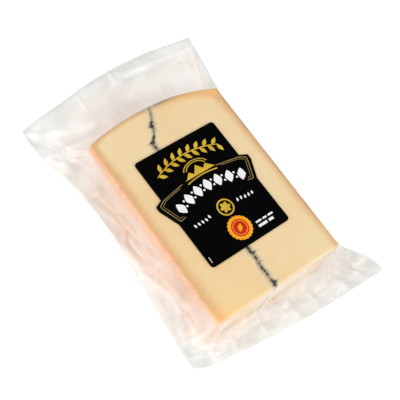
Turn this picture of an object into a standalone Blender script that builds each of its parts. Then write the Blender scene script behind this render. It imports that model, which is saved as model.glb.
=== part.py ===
"""A portion of Morbier cheese, vacuum packed in a clear pouch with a label on its cut face.

Metres, +Z up. The portion was cut from a wheel by two parallel cuts, and it lies on one of them.
X runs across it, from one flat rind of the wheel to the other. +Y runs from the plain inner cut at
the front to the rind at the wheel's rim. Z is 0 on the surface that the pack lies on, and the
origin is below the middle of the pouch's outline.
"""

import math

import bmesh
import bpy
from mathutils import Vector

MM = 0.001

# The portion
BLOCK_WIDTH = 68.9 * MM
BLOCK_FRONT = -0.8 * MM
BLOCK_THICKNESS = 31.0 * MM
RIM_REACH = 97.4 * MM
RIM_DROP_LEFT = 4.1 * MM
RIM_DROP_RIGHT = 6.9 * MM
CORNER_RADIUS = 1.3 * MM
EDGE_RADIUS = 1.0 * MM
TOUCH_GAP = 0.3 * MM

# The ash layer: points of its line on the upper cut face, and how thick it lies
ASH_LINE = (
    (-3.3 * MM, -6.0 * MM),
    (-3.1 * MM, 2.0 * MM),
    (-3.0 * MM, 10.0 * MM),
    (-3.0 * MM, 20.0 * MM),
    (-3.9 * MM, 34.0 * MM),
    (-5.6 * MM, 48.0 * MM),
    (-7.2 * MM, 60.0 * MM),
    (-8.3 * MM, 69.0 * MM),
    (-8.9 * MM, 75.5 * MM),
    (-9.1 * MM, 80.0 * MM),
    (-7.3 * MM, 83.0 * MM),
    (-5.3 * MM, 86.0 * MM),
    (-4.6 * MM, 89.0 * MM),
    (-2.4 * MM, 91.5 * MM),
    (-0.9 * MM, 94.0 * MM),
    (-0.2 * MM, 97.0 * MM),
    (0.3 * MM, 102.0 * MM),
)
ASH_THICKNESS = 0.9 * MM
ASH_LUMPS = ((1.5 * MM, 1.2 * MM), (18.0 * MM, 0.5 * MM), (80.0 * MM, 0.6 * MM), (88.0 * MM, 1.3 * MM))
ASH_LUMP_LENGTH = 2.6 * MM
ASH_WANDER = 1.4 * MM

# The pouch: film over the portion, and the flange where its two sheets meet
FILM_THICKNESS = 0.5 * MM
FLANGE_THICKNESS = 0.8 * MM
FLANGE_HEIGHT = 15.8 * MM

# Edges of the flange between its corners, as across, along and height. They run counterclockwise
# from the left front corner, round the front seal, the right side, the header and the left side.
LEFT_FRONT_CORNER = (-46.2 * MM, -6.7 * MM, 10.8 * MM)
RIGHT_FRONT_CORNER = (55.9 * MM, -18.8 * MM, 13.8 * MM)
RIGHT_HEADER_CORNER = (49.8 * MM, 126.8 * MM, 15.8 * MM)
LEFT_HEADER_CORNER = (-48.5 * MM, 121.3 * MM, 12.8 * MM)
FRONT_EDGE = (
    LEFT_FRONT_CORNER,
    (-33.7 * MM, -9.4 * MM, 11.8 * MM),
    (-17.6 * MM, -13.5 * MM, 13.8 * MM),
    (7.8 * MM, -15.9 * MM, 14.8 * MM),
    (29.1 * MM, -17.2 * MM, 14.8 * MM),
    RIGHT_FRONT_CORNER,
)
RIGHT_EDGE = (
    RIGHT_FRONT_CORNER,
    (53.2 * MM, -9.6 * MM, 14.8 * MM),
    (44.7 * MM, 1.3 * MM, 15.8 * MM),
    (43.0 * MM, 20.0 * MM, 15.8 * MM),
    (42.4 * MM, 48.0 * MM, 15.8 * MM),
    (43.2 * MM, 80.0 * MM, 15.8 * MM),
    (44.4 * MM, 95.4 * MM, 15.8 * MM),
    (47.4 * MM, 110.0 * MM, 15.8 * MM),
    RIGHT_HEADER_CORNER,
)
HEADER_EDGE = (
    RIGHT_HEADER_CORNER,
    (19.9 * MM, 127.6 * MM, 21.8 * MM),
    (-2.1 * MM, 126.3 * MM, 20.8 * MM),
    (-27.5 * MM, 123.5 * MM, 17.8 * MM),
    LEFT_HEADER_CORNER,
)
LEFT_EDGE = (
    LEFT_HEADER_CORNER,
    (-49.6 * MM, 102.0 * MM, 17.8 * MM),
    (-45.8 * MM, 91.5 * MM, 16.8 * MM),
    (-43.0 * MM, 79.0 * MM, 15.8 * MM),
    (-42.1 * MM, 54.1 * MM, 15.8 * MM),
    (-45.7 * MM, 31.8 * MM, 15.8 * MM),
    (-47.1 * MM, 4.5 * MM, 13.8 * MM),
    LEFT_FRONT_CORNER,
)
FLANGE_EDGES = (FRONT_EDGE, RIGHT_EDGE, HEADER_EDGE, LEFT_EDGE)

# Where the film leaves the wall: the part of the way out to the edge that it bridges, and how far
# below the portion's face it leaves, at the two ends and along the two sides
END_BRIDGE = 0.55
SIDE_BRIDGE = 0.34
END_TENT_DROP = 3.2 * MM
SIDE_TENT_DROP = 9.0 * MM

# Folds of the flange: their number along an edge, their height, and where along the edge they peak
FRONT_FOLDS = ((6.5, 1.3 * MM, 0.4), (11.0, 0.6 * MM, 1.9))
HEADER_FOLDS = ((7.0, 0.7 * MM, 0.9), (3.0, 0.9 * MM, 2.2))
SIDE_FOLDS = ((3.0, 0.7 * MM, 0.3), (5.0, 0.5 * MM, 1.1))
EDGE_FOLDS = (FRONT_FOLDS, SIDE_FOLDS, HEADER_FOLDS, SIDE_FOLDS)
DOG_EAR_SHARE = 0.14
DOG_EAR_SPREAD = 0.035
DOG_EAR_HEIGHT = 3.0 * MM

# The label, stuck on the film in the middle of the upper face, with a ribbon that stands out
LABEL_CENTRE = (-0.5 * MM, 48.5 * MM)
LABEL_WIDTH = 44.2 * MM
LABEL_LENGTH = 56.4 * MM
LABEL_THICKNESS = 0.6 * MM
LABEL_CORNER_RADIUS = 1.6 * MM
LABEL_TURN = math.radians(0.9)
RIBBON_REACH = 3.8 * MM
RIBBON_FOOT = -5.0 * MM
RIBBON_TIP_LOW = 4.3 * MM
RIBBON_TIP_HIGH = 6.6 * MM
RIBBON_HEAD = 8.3 * MM

# Stations along each edge, and the stations that turn round half an upright corner
PORTION_STATIONS = (12, 18, 14, 18)
POUCH_STATIONS = (34, 34, 32, 36)
CORNER_SHARE = 0.09


def rim_line(across):
    """The plan of the wheel's rim: how far along a point of it lies, from how far across."""
    share = 2 * across / BLOCK_WIDTH
    drop = RIM_DROP_LEFT if share < 0 else RIM_DROP_RIGHT
    return RIM_REACH - drop * abs(share) ** 2.2


def smoothstep(low, high, value):
    share = min(1.0, max(0.0, (value - low) / (high - low)))
    return share * share * (3 - 2 * share)


def spline_point(points, share):
    """A point of a smooth curve through the points, at a share of the chords' length."""
    points = [Vector(point) for point in points]
    chords = [(b - a).length for a, b in zip(points, points[1:])]
    distance = share * sum(chords)
    index = 0
    while index < len(chords) - 1 and distance > chords[index]:
        distance -= chords[index]
        index += 1
    t = distance / chords[index]
    before = points[index - 1] if index else 2 * points[0] - points[1]
    start, end = points[index], points[index + 1]
    after = points[index + 2] if index + 2 < len(points) else 2 * end - start
    slope_start = (end - before) / 2
    slope_end = (after - start) / 2
    return (
        start * (2 * t ** 3 - 3 * t ** 2 + 1)
        + slope_start * (t ** 3 - 2 * t ** 2 + t)
        + end * (3 * t ** 2 - 2 * t ** 3)
        + slope_end * (t ** 3 - t ** 2)
    )


def stations(counts):
    """The edge's number and the share along it, for every station round an outline."""
    return [(side, index / count) for side, count in enumerate(counts) for index in range(count)]


def block_point(side, share, reach):
    """A point of the portion's plan with rounded upright corners.

    The corners' centres lie CORNER_RADIUS inside the true corners, and the point lies reach
    outside the line through them. Near a corner it stays at the centre, and its direction turns.
    """
    half = BLOCK_WIDTH / 2 - CORNER_RADIUS
    run = min(1.0, max(0.0, (share - CORNER_SHARE) / (1 - 2 * CORNER_SHARE)))
    turn = 0.0
    if share < CORNER_SHARE:
        turn = -math.pi / 4 * (1 - share / CORNER_SHARE)
    elif share > 1 - CORNER_SHARE:
        turn = math.pi / 4 * (1 - (1 - share) / CORNER_SHARE)
    near = BLOCK_FRONT + CORNER_RADIUS
    right_top = rim_line(half) - CORNER_RADIUS
    left_top = rim_line(-half) - CORNER_RADIUS
    if side == 0:
        centre = (half * (2 * run - 1), near)
    elif side == 1:
        centre = (half, near + (right_top - near) * run)
    elif side == 2:
        across = half * (1 - 2 * run)
        centre = (across, rim_line(across) - CORNER_RADIUS)
    else:
        centre = (-half, left_top + (near - left_top) * run)
    angle = (side - 1) * math.pi / 2 + turn
    return Vector((centre[0] + reach * math.cos(angle), centre[1] + reach * math.sin(angle)))


def block_rings(counts, low, high, grow):
    """Rings down the portion, grown by a distance: a rounded edge, the wall, a rounded edge."""
    steps = (0.0, 30.0, 60.0, 90.0)
    radius = EDGE_RADIUS + grow
    rings = []
    for angle in steps:
        bend = math.radians(angle)
        reach = CORNER_RADIUS - EDGE_RADIUS + radius * math.sin(bend)
        rings.append((reach, high + grow - radius * (1 - math.cos(bend))))
    for angle in reversed(steps):
        bend = math.radians(angle)
        reach = CORNER_RADIUS - EDGE_RADIUS + radius * math.sin(bend)
        rings.append((reach, low - grow + radius * (1 - math.cos(bend))))
    return [
        [(*block_point(side, share, reach), height) for side, share in stations(counts)]
        for reach, height in rings
    ]


def loft(name, rings, collection):
    """A closed body through rings of equal length, from the top one down, with flat ends."""
    mesh = bmesh.new()
    rows = [[mesh.verts.new(point) for point in ring] for ring in rings]
    size = len(rows[0])
    mesh.faces.new(rows[0])
    mesh.faces.new(list(reversed(rows[-1])))
    for upper, lower in zip(rows, rows[1:]):
        for index in range(size):
            after = (index + 1) % size
            mesh.faces.new((upper[index], lower[index], lower[after], upper[after]))
    return finish_mesh(name, mesh, collection)


def finish_mesh(name, mesh, collection):
    """Puts the finished bmesh into a new object, set back by the origin, in the collection."""
    data = bpy.data.meshes.new(name)
    mesh.to_mesh(data)
    mesh.free()
    obj = bpy.data.objects.new(name, data)
    obj.location = ORIGIN_OFFSET
    collection.objects.link(obj)
    return obj


def edge_point(side, share):
    """A point of the flange's edge, with its height."""
    return spline_point(FLANGE_EDGES[side], share)


def end_weight(side, share):
    """1 along the front and the header, 0 along the sides, with a smooth change at corners."""
    near = 0.5 * smoothstep(0.0, 0.16, min(share, 1 - share))
    return 0.5 + near if side in (0, 2) else 0.5 - near


def fold_height(side, share, way):
    """How far the flange is lifted by its folds, way being 0 at the wall and 1 at the edge."""
    swell = math.sin(math.pi * min(1.0, way * 1.15) ** 0.8) + 0.35 * way
    fade = smoothstep(0.0, 0.12, min(share, 1 - share))
    waves = sum(
        height * math.sin(2 * math.pi * count * share + phase)
        for count, height, phase in EDGE_FOLDS[side]
    )
    lift = waves * swell * fade
    if side == 3:
        spread = (share - DOG_EAR_SHARE) / DOG_EAR_SPREAD
        lift += DOG_EAR_HEIGHT * math.exp(-spread * spread) * math.sin(math.pi * way) * 0.9
    return lift


def pouch_section(side, share, low, high):
    """One section of the pouch, from the upper face out to the flange's edge and back below.

    The film rounds the portion's edge and lies on the wall down to where it leaves it. From there
    it bridges to the flange in a hollow curve, and the flange runs out to its edge.
    """
    film = TOUCH_GAP + FILM_THICKNESS
    radius = EDGE_RADIUS + film
    wall = block_point(side, share, CORNER_RADIUS + film)
    edge = edge_point(side, share)
    weight = end_weight(side, share)
    bridge = SIDE_BRIDGE + (END_BRIDGE - SIDE_BRIDGE) * weight
    drop = SIDE_TENT_DROP + (END_TENT_DROP - SIDE_TENT_DROP) * weight
    half = FLANGE_THICKNESS / 2

    def flange(way, level):
        plan = wall.lerp(edge.xy, way)
        height = FLANGE_HEIGHT + (edge.z - FLANGE_HEIGHT) * way ** 1.5
        return (*plan, height + fold_height(side, share, way) + level)

    def rounded(height, sign):
        points = []
        for angle in (0.0, 45.0, 90.0):
            bend = math.radians(angle)
            plan = block_point(side, share, CORNER_RADIUS - EDGE_RADIUS + radius * math.sin(bend))
            points.append((*plan, height - sign * radius * (1 - math.cos(bend))))
        return points

    def bridged(leave, level):
        points = []
        for way in (0.0, 0.3, 0.65):
            start = (1 - way) ** 2
            middle = 2 * way * (1 - way)
            end = way * way
            knee = flange(bridge * 0.35, level)
            root = flange(bridge, level)
            points.append(
                tuple(
                    start * leave[axis] + middle * knee[axis] + end * root[axis] for axis in range(3)
                )
            )
        return points

    ways = (bridge, bridge + (1 - bridge) * 0.5, 1.0)
    top = rounded(high + film, 1)
    base = rounded(low - film, -1)
    upper = bridged((*wall, high - drop), half)
    lower = bridged((*wall, low + drop), -half)
    section = top + upper + [flange(way, half) for way in ways]
    section += [flange(way, -half) for way in reversed(ways)]
    return section + list(reversed(lower)) + list(reversed(base))


def build_pouch(low, high, collection):
    """The film's outside as one closed body, lofted from the sections round its outline."""
    sections = [pouch_section(side, share, low, high) for side, share in stations(POUCH_STATIONS)]
    rings = list(zip(*sections))
    return loft("pouch", rings, collection)


def ash_across(along, height):
    """How far across the middle of the ash lies, from how far along and how high."""
    low, high = 0.0, 1.0
    for _ in range(30):
        middle = (low + high) / 2
        if spline_point(ASH_LINE, middle).y < along:
            low = middle
        else:
            high = middle
    depth = 1 - height / BLOCK_THICKNESS
    wander = ASH_WANDER * depth * math.sin(along / (15 * MM) + 2.5 * depth)
    ripple = 0.25 * MM * math.sin(along / (2.3 * MM) + height / (4 * MM))
    return spline_point(ASH_LINE, low).x + wander + ripple


def ash_half_thickness(along, height):
    """Half the ash layer's thickness, with the lumps where it lies thicker."""
    lumps = sum(
        extra * math.exp(-(((along - place) / ASH_LUMP_LENGTH) ** 2)) for place, extra in ASH_LUMPS
    )
    uneven = 0.15 * MM * math.sin(along / (3.1 * MM)) * math.sin(height / (5.0 * MM) + 0.6)
    return (ASH_THICKNESS + lumps + uneven) / 2


def ash_face(sign, clearance):
    """The left (-1) or right (1) face of the ash layer, moved out by a clearance."""
    def face(along, height):
        return ash_across(along, height) + sign * (ash_half_thickness(along, height) + clearance)
    return face


def upright(across):
    """A flat face at one distance across."""
    def face(along, height):
        return across
    return face


def slab(name, left_face, right_face, low, collection):
    """A standing slab whose two faces are given as functions of how far along and how high."""
    start, end = BLOCK_FRONT - 4.0 * MM, RIM_REACH + 4.0 * MM
    columns, rows = 44, 6
    bottom, top = -3.0 * MM, BLOCK_THICKNESS + 3.0 * MM
    mesh = bmesh.new()
    sheets = []
    for face in (left_face, right_face):
        sheet = []
        for column in range(columns + 1):
            along = start + (end - start) * column / columns
            line = []
            for row in range(rows + 1):
                height = bottom + (top - bottom) * row / rows
                line.append(mesh.verts.new((face(along, height), along, low + height)))
            sheet.append(line)
        sheets.append(sheet)
    left, right = sheets
    for i in range(columns):
        for j in range(rows):
            mesh.faces.new((left[i][j], left[i][j + 1], left[i + 1][j + 1], left[i + 1][j]))
            mesh.faces.new((right[i][j], right[i + 1][j], right[i + 1][j + 1], right[i][j + 1]))
    for i in range(columns):
        mesh.faces.new((left[i][0], left[i + 1][0], right[i + 1][0], right[i][0]))
        mesh.faces.new((left[i][rows], right[i][rows], right[i + 1][rows], left[i + 1][rows]))
    for j in range(rows):
        mesh.faces.new((left[0][j], right[0][j], right[0][j + 1], left[0][j + 1]))
        last = columns
        mesh.faces.new((left[last][j], left[last][j + 1], right[last][j + 1], right[last][j]))
    return finish_mesh(name, mesh, collection)


def boolean(obj, cutter, operation):
    """Adds a Boolean with one cutter."""
    modifier = obj.modifiers.new(cutter.name, "BOOLEAN")
    modifier.operation = operation
    modifier.object = cutter
    modifier.solver = "EXACT"


def label_outline(grow):
    """The label's outline, counterclockwise: round corners, and the ribbon's ends at its sides."""
    half_width = LABEL_WIDTH / 2 + grow
    half_length = LABEL_LENGTH / 2 + grow
    reach = half_width + RIBBON_REACH
    radius = LABEL_CORNER_RADIUS + grow
    points = []
    right_ribbon = [
        (half_width, RIBBON_FOOT - grow),
        (reach, RIBBON_TIP_LOW - grow),
        (reach, RIBBON_TIP_HIGH + grow),
        (half_width, RIBBON_HEAD + grow),
    ]
    left_ribbon = [(-across, along) for across, along in reversed(right_ribbon)]
    corners = ((1, -1, -90), (1, 1, 0), (-1, 1, 90), (-1, -1, 180))
    for number, (across_sign, along_sign, start) in enumerate(corners):
        for step in range(5):
            angle = math.radians(start + 22.5 * step)
            centre_x = across_sign * (half_width - radius)
            centre_y = along_sign * (half_length - radius)
            points.append((centre_x + radius * math.cos(angle), centre_y + radius * math.sin(angle)))
        if number == 0:
            points += right_ribbon
        if number == 2:
            points += left_ribbon
    cosine, sine = math.cos(LABEL_TURN), math.sin(LABEL_TURN)
    return [
        (LABEL_CENTRE[0] + cosine * x - sine * y, LABEL_CENTRE[1] + sine * x + cosine * y)
        for x, y in points
    ]


def outline_solid(name, outline, low, high, collection):
    """A flat outline made thick: a filled 2D curve, extruded, whose caps are then welded."""
    curve = bpy.data.curves.new(name + "_outline", "CURVE")
    curve.dimensions = "2D"
    curve.fill_mode = "BOTH"
    curve.extrude = (high - low) / 2
    spline = curve.splines.new("POLY")
    spline.points.add(len(outline) - 1)
    for point, (across, along) in zip(spline.points, outline):
        point.co = (across, along, 0.0, 1.0)
    spline.use_cyclic_u = True
    guide = bpy.data.objects.new(name + "_outline", curve)
    guide.location = ORIGIN_OFFSET + Vector((0.0, 0.0, (low + high) / 2))
    collection.objects.link(guide)
    bpy.context.view_layer.update()
    evaluated = guide.evaluated_get(bpy.context.evaluated_depsgraph_get())
    data = bpy.data.meshes.new_from_object(evaluated)
    obj = bpy.data.objects.new(name, data)
    obj.matrix_world = guide.matrix_world
    collection.objects.link(obj)
    bpy.data.objects.remove(guide)
    mesh = bmesh.new()
    mesh.from_mesh(data)
    bmesh.ops.remove_doubles(mesh, verts=mesh.verts, dist=0.00001)
    mesh.to_mesh(data)
    mesh.free()
    return obj


def material(name, colour, roughness, alpha=1.0):
    made = bpy.data.materials.new(name)
    made.use_nodes = True
    shader = made.node_tree.nodes["Principled BSDF"]
    shader.inputs["Base Color"].default_value = (*colour, 1.0)
    shader.inputs["Roughness"].default_value = roughness
    shader.inputs["Metallic"].default_value = 0.0
    shader.inputs["Alpha"].default_value = alpha
    return made


def shade_round(obj, degrees):
    """Smooth shading, with the edges sharper than an angle kept sharp."""
    obj.data.shade_smooth()
    obj.data.set_sharp_from_angle(angle=math.radians(degrees))


def outline_middle():
    """The middle of the box round the flange's edge, in plan."""
    points = [edge_point(side, share) for side, share in stations(POUCH_STATIONS)]
    across = [point.x for point in points]
    along = [point.y for point in points]
    return (min(across) + max(across)) / 2, (min(along) + max(along)) / 2


MIDDLE = outline_middle()
ORIGIN_OFFSET = Vector((-MIDDLE[0], -MIDDLE[1], 0.0))


def main():
    for obj in list(bpy.data.objects):
        bpy.data.objects.remove(obj)
    parts = bpy.data.collections.new("morbier")
    cutters = bpy.data.collections.new("cutters")
    bpy.context.scene.collection.children.link(parts)
    bpy.context.scene.collection.children.link(cutters)

    low = TOUCH_GAP + FILM_THICKNESS
    high = low + BLOCK_THICKNESS

    paste = material("paste", (0.86, 0.66, 0.38), 0.5)
    portion_rings = block_rings(PORTION_STATIONS, low, high, 0.0)
    right_of_ash = slab("right_of_ash", ash_face(-1, TOUCH_GAP), upright(BLOCK_WIDTH), low, cutters)
    left_of_ash = slab("left_of_ash", upright(-BLOCK_WIDTH), ash_face(1, TOUCH_GAP), low, cutters)
    for name, cutter in (("paste_left", right_of_ash), ("paste_right", left_of_ash)):
        half = loft(name, portion_rings, parts)
        boolean(half, cutter, "DIFFERENCE")
        shade_round(half, 40)
        half.data.materials.append(paste)

    portion = loft("whole_portion", portion_rings, cutters)
    ash = slab("ash_layer", ash_face(-1, 0.0), ash_face(1, 0.0), low, parts)
    boolean(ash, portion, "INTERSECT")
    shade_round(ash, 40)
    ash.data.materials.append(material("ash", (0.05, 0.05, 0.06), 0.9))

    hollow = loft("hollow", block_rings(PORTION_STATIONS, low, high, TOUCH_GAP), cutters)
    window = outline_solid(
        "window", label_outline(TOUCH_GAP), high - 2 * MM, high + 2 * MM, cutters
    )
    pouch = build_pouch(low, high, parts)
    boolean(pouch, hollow, "DIFFERENCE")
    boolean(pouch, window, "DIFFERENCE")
    shade_round(pouch, 50)
    pouch.data.materials.append(material("film", (0.93, 0.93, 0.92), 0.15, 0.35))

    label_low = high + TOUCH_GAP
    label = outline_solid(
        "label", label_outline(0.0), label_low, label_low + LABEL_THICKNESS, parts
    )
    label.data.materials.append(material("label", (0.01, 0.01, 0.012), 0.2))

    for cutter in cutters.objects:
        cutter.hide_render = True
        cutter.display_type = "WIRE"


main()
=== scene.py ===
"""A vacuum packed portion of morbier cheese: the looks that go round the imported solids.

The classes work in millimetres in the portion's own frame: x runs across it from one flat rind to
the other, y along it from the front cut to the rim, and z up from the surface that the pack lies
on. Place turns those into the scene's metres.
"""

import logging
import math
from collections.abc import Callable
from dataclasses import dataclass
from dataclasses import field
from enum import Enum
from enum import IntEnum
from functools import cached_property
from typing import ClassVar

import bpy
import numpy as np
from mathutils import Matrix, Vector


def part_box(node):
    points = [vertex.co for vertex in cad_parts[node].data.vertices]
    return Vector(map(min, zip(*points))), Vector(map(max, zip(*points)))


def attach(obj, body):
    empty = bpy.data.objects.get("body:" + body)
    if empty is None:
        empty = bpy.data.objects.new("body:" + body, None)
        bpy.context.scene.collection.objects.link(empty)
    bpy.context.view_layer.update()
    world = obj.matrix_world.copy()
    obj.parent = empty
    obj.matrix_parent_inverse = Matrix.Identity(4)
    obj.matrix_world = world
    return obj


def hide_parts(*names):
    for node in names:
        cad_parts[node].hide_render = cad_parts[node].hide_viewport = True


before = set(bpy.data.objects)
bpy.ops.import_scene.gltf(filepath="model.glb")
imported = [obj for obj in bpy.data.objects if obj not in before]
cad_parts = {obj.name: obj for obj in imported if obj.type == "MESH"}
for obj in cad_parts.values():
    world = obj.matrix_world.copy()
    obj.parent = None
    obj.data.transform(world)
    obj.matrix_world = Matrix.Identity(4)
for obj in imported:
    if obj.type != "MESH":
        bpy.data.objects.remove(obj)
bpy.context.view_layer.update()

LOG = logging.getLogger("morbier")
Array = np.ndarray
MM = 0.001
BODY = "root"
Colour = tuple[float, float, float]
Rows = tuple[tuple[float, ...], ...]
Value = Array | float
Material = bpy.types.Material
FULL_TURN = 2 * math.pi


class Slot(Enum):
    """The record's material slots."""

    PASTE = "paste"
    ASH = "ash"
    FILM = "film"
    LABEL = "label"


class Half(Enum):
    """The two layers of paste, by the side of the ash that they lie on."""

    LEFT = -1
    RIGHT = 1


class Side(IntEnum):
    """The sides of the portion's and the pouch's outline, counterclockwise."""

    FRONT = 0
    RIGHT = 1
    RIM = 2
    LEFT = 3


# Arithmetic on arrays


def evenly(count: int, end: float = 1.0) -> Array:
    """Evenly spaced numbers from 0 up to the end, without the end itself."""
    return np.linspace(0, end, count, endpoint=False)


def smoothstep(low: float, high: float, value: Array) -> Array:
    """A soft step: 0 up to low, 1 from high on, and 3s² - 2s³ of the share s between."""
    share = np.clip((np.asarray(value, float) - low) / (high - low), 0.0, 1.0)
    return share * share * (3 - 2 * share)


def bell(value: Array, middle: float, spread: float) -> Array:
    """A bump of height 1 at the middle: e to the minus square of the distance over the spread."""
    return np.exp(-(((np.asarray(value, float) - middle) / spread) ** 2))


def spline(points: Rows, shares: Array) -> Array:
    """Points of a smooth curve through the given ones.

    Formula: between two neighbours the cubic Hermite blend of both points, with slopes that are
    half the way from the point before to the point after.

    Args:
        points: the points that the curve passes, in order.
        shares: how far along the chords' whole length each result lies, from 0 to 1.

    Returns:
        One point for each share.
    """
    knots = np.asarray(points, float)
    chords = np.linalg.norm(np.diff(knots, axis=0), axis=1)
    ends = np.concatenate([[0.0], np.cumsum(chords)])
    distance = np.clip(shares, 0.0, 1.0) * ends[-1]
    index = np.clip(np.searchsorted(ends, distance, side="right") - 1, 0, len(chords) - 1)
    t = ((distance - ends[index]) / chords[index])[..., None]
    padded = np.vstack([2 * knots[0] - knots[1], knots, 2 * knots[-1] - knots[-2]])
    before, start, end, after = (padded[index + step] for step in range(4))
    return (
        start * (2 * t**3 - 3 * t**2 + 1)
        + (end - before) / 2 * (t**3 - 2 * t**2 + t)
        + end * (3 * t**2 - 2 * t**3)
        + (after - start) / 2 * (t**3 - t**2)
    )


def circle(count: int) -> Array:
    """Points of a circle of radius 1: cosine and sine of evenly spaced angles."""
    angle = evenly(count, FULL_TURN)
    return np.stack([np.cos(angle), np.sin(angle)], -1)


@dataclass(frozen=True)
class Noise:
    """Smooth random heights over a plane, the same on each run.

    Formula: every point of a square lattice has a random slope. A point's height is the blend of
    the four heights that the slopes round it give, with the weights 6s⁵ - 15s⁴ + 10s³, times the
    gain.
    """

    seed: int
    size: int = 256
    gain: float = 1.5

    def at(self, x: Array, y: Array, wrap: int = 0) -> Array:
        """Heights between about -1 and 1.

        Args:
            x: first coordinate, in lattice steps.
            y: second coordinate, in lattice steps.
            wrap: the number of steps after which x repeats, or 0.

        Returns:
            One height for each pair.
        """
        turn = np.random.default_rng(self.seed).uniform(0, FULL_TURN, (self.size, self.size))
        x, y = np.broadcast_arrays(np.asarray(x, float), np.asarray(y, float))
        left = np.floor(x).astype(int)
        low = np.floor(y).astype(int)
        dx, dy = x - left, y - low
        period = wrap or self.size

        def corner(step_x: int, step_y: int) -> Array:
            """The height that the slope of one corner of the square gives."""
            angle = turn[(left + step_x) % period, (low + step_y) % self.size]
            return np.cos(angle) * (dx - step_x) + np.sin(angle) * (dy - step_y)

        u = dx**3 * (dx * (6 * dx - 15) + 10)
        v = dy**3 * (dy * (6 * dy - 15) + 10)
        near = corner(0, 0) * (1 - u) + corner(1, 0) * u
        far = corner(0, 1) * (1 - u) + corner(1, 1) * u
        return self.gain * (near * (1 - v) + far * v)


@dataclass(frozen=True)
class Place:
    """Where the portion's own frame stands in the scene, in metres."""

    across: float
    along: float

    @classmethod
    def of_solids(cls, front: float) -> "Place":
        """The place of the two packed halves of paste, whose front cut is at the given front."""
        left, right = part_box("paste_left")[0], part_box("paste_right")[1]
        return cls((left.x + right.x) / 2, left.y - front * MM)

    def scene(self, points: Array) -> Array:
        """Points of the scene, in metres, from points of the portion in millimetres."""
        return np.asarray(points, float) * MM + np.array([self.across, self.along, 0.0])


# Meshes


@dataclass
class Surface:
    """Points, faces and values at the points, which together become one mesh."""

    points: Array
    faces: list[Array]
    values: dict[str, Array] = field(default_factory=dict)

    def volume(self) -> float:
        """How much the surface encloses, and below 0 where its faces are turned inwards.

        Formula: the sum of the triple products of the corners, over each face's fan of triangles.

        Returns:
            Six times the volume.
        """
        total = 0.0
        for corners in self.faces:
            for step in range(1, corners.shape[1] - 1):
                a, b, c = (self.points[corners[:, pick]] for pick in (0, step, step + 1))
                total += float(np.einsum("ij,ij->", a, np.cross(b, c)))
        return total

    def outward(self) -> "Surface":
        """Turns the faces outwards, where the volume shows that they are not.

        Returns:
            The surface itself.
        """
        if self.volume() < 0:
            self.faces = [corners[:, ::-1] for corners in self.faces]
        return self

    @staticmethod
    def joined(parts: "list[Surface]") -> "Surface":
        """Several surfaces without values as one.

        Args:
            parts: the surfaces.

        Returns:
            One surface with all their points and faces.
        """
        shifts = np.cumsum([0] + [len(part.points) for part in parts])
        faces = [corners + shift for part, shift in zip(parts, shifts) for corners in part.faces]
        return Surface(np.vstack([part.points for part in parts]), faces)


def loft(rings: Array, close_ends: bool = True, turned: int | None = None) -> Surface:
    """A skin over rings of equal length, from the first to the last.

    Formula: each pair of neighbouring rings is joined by one four-sided face for each pair of
    neighbouring stations, and each end is closed by one face round its ring.

    Args:
        rings: points by ring and station.
        close_ends: whether the first and last ring are closed.
        turned: the ring from which each face is cut along its other diagonal, so that two sheets
            which lie close together on mirrored rings bend alike.

    Returns:
        The skin, with its faces turned outwards.
    """
    count, size = rings.shape[:2]
    number = np.arange(count * size).reshape(count, size)
    after = np.roll(number, -1, axis=1)
    quads = np.stack([number[:-1], number[1:], after[1:], after[:-1]], axis=-1)
    if turned is not None:
        quads[turned:] = np.roll(quads[turned:], -1, axis=-1)
    faces = [quads.reshape(-1, 4)]
    if close_ends:
        faces += [number[:1], number[-1:, ::-1]]
    return Surface(rings.reshape(-1, 3), faces).outward()


class Maker:
    """Turns surfaces into the scene's pieces."""

    def __init__(self, place: Place) -> None:
        """Keeps the place of the portion."""
        self.place = place

    def piece(
        self,
        name: str,
        surface: Surface,
        material: Material,
        slot: Slot,
        nodes: tuple[str, ...] = (),
        smooth: bool = True,
    ) -> bpy.types.Object:
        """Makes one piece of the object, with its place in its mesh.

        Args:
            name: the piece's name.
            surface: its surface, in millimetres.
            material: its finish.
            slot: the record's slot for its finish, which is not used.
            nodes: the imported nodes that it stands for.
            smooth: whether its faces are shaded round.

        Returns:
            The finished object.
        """
        mesh = bpy.data.meshes.new(name)
        faces = [row for corners in surface.faces for row in corners.tolist()]
        mesh.from_pydata(self.place.scene(surface.points).tolist(), [], faces)
        for key, value in surface.values.items():
            attribute = mesh.attributes.new(key, "FLOAT", "POINT")
            attribute.data.foreach_set("value", np.asarray(value, np.float32).ravel())
        mesh.polygons.foreach_set("use_smooth", np.full(len(mesh.polygons), smooth))
        mesh.materials.append(material)
        mesh.update()
        piece = bpy.data.objects.new(name, mesh)
        bpy.context.scene.collection.objects.link(piece)
        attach(piece, BODY)
        if nodes:
            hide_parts(*nodes)
        triangles = sum(len(corners) * (corners.shape[1] - 2) for corners in surface.faces)
        LOG.info("%s: %d triangles", name, triangles)
        return piece


# Shader maths


def pick_socket(sockets: bpy.types.bpy_prop_collection, key: str | int) -> bpy.types.NodeSocket:
    """Finds one of a node's sockets.

    Args:
        sockets: the node's inputs or outputs.
        key: the socket's number, its identifier, or the name of one that is switched on.

    Returns:
        The first socket that fits.
    """
    if isinstance(key, int):
        return sockets[key]
    for socket in sockets:
        if socket.identifier == key or (socket.name == key and socket.enabled):
            return socket
    raise KeyError(key)


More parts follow.
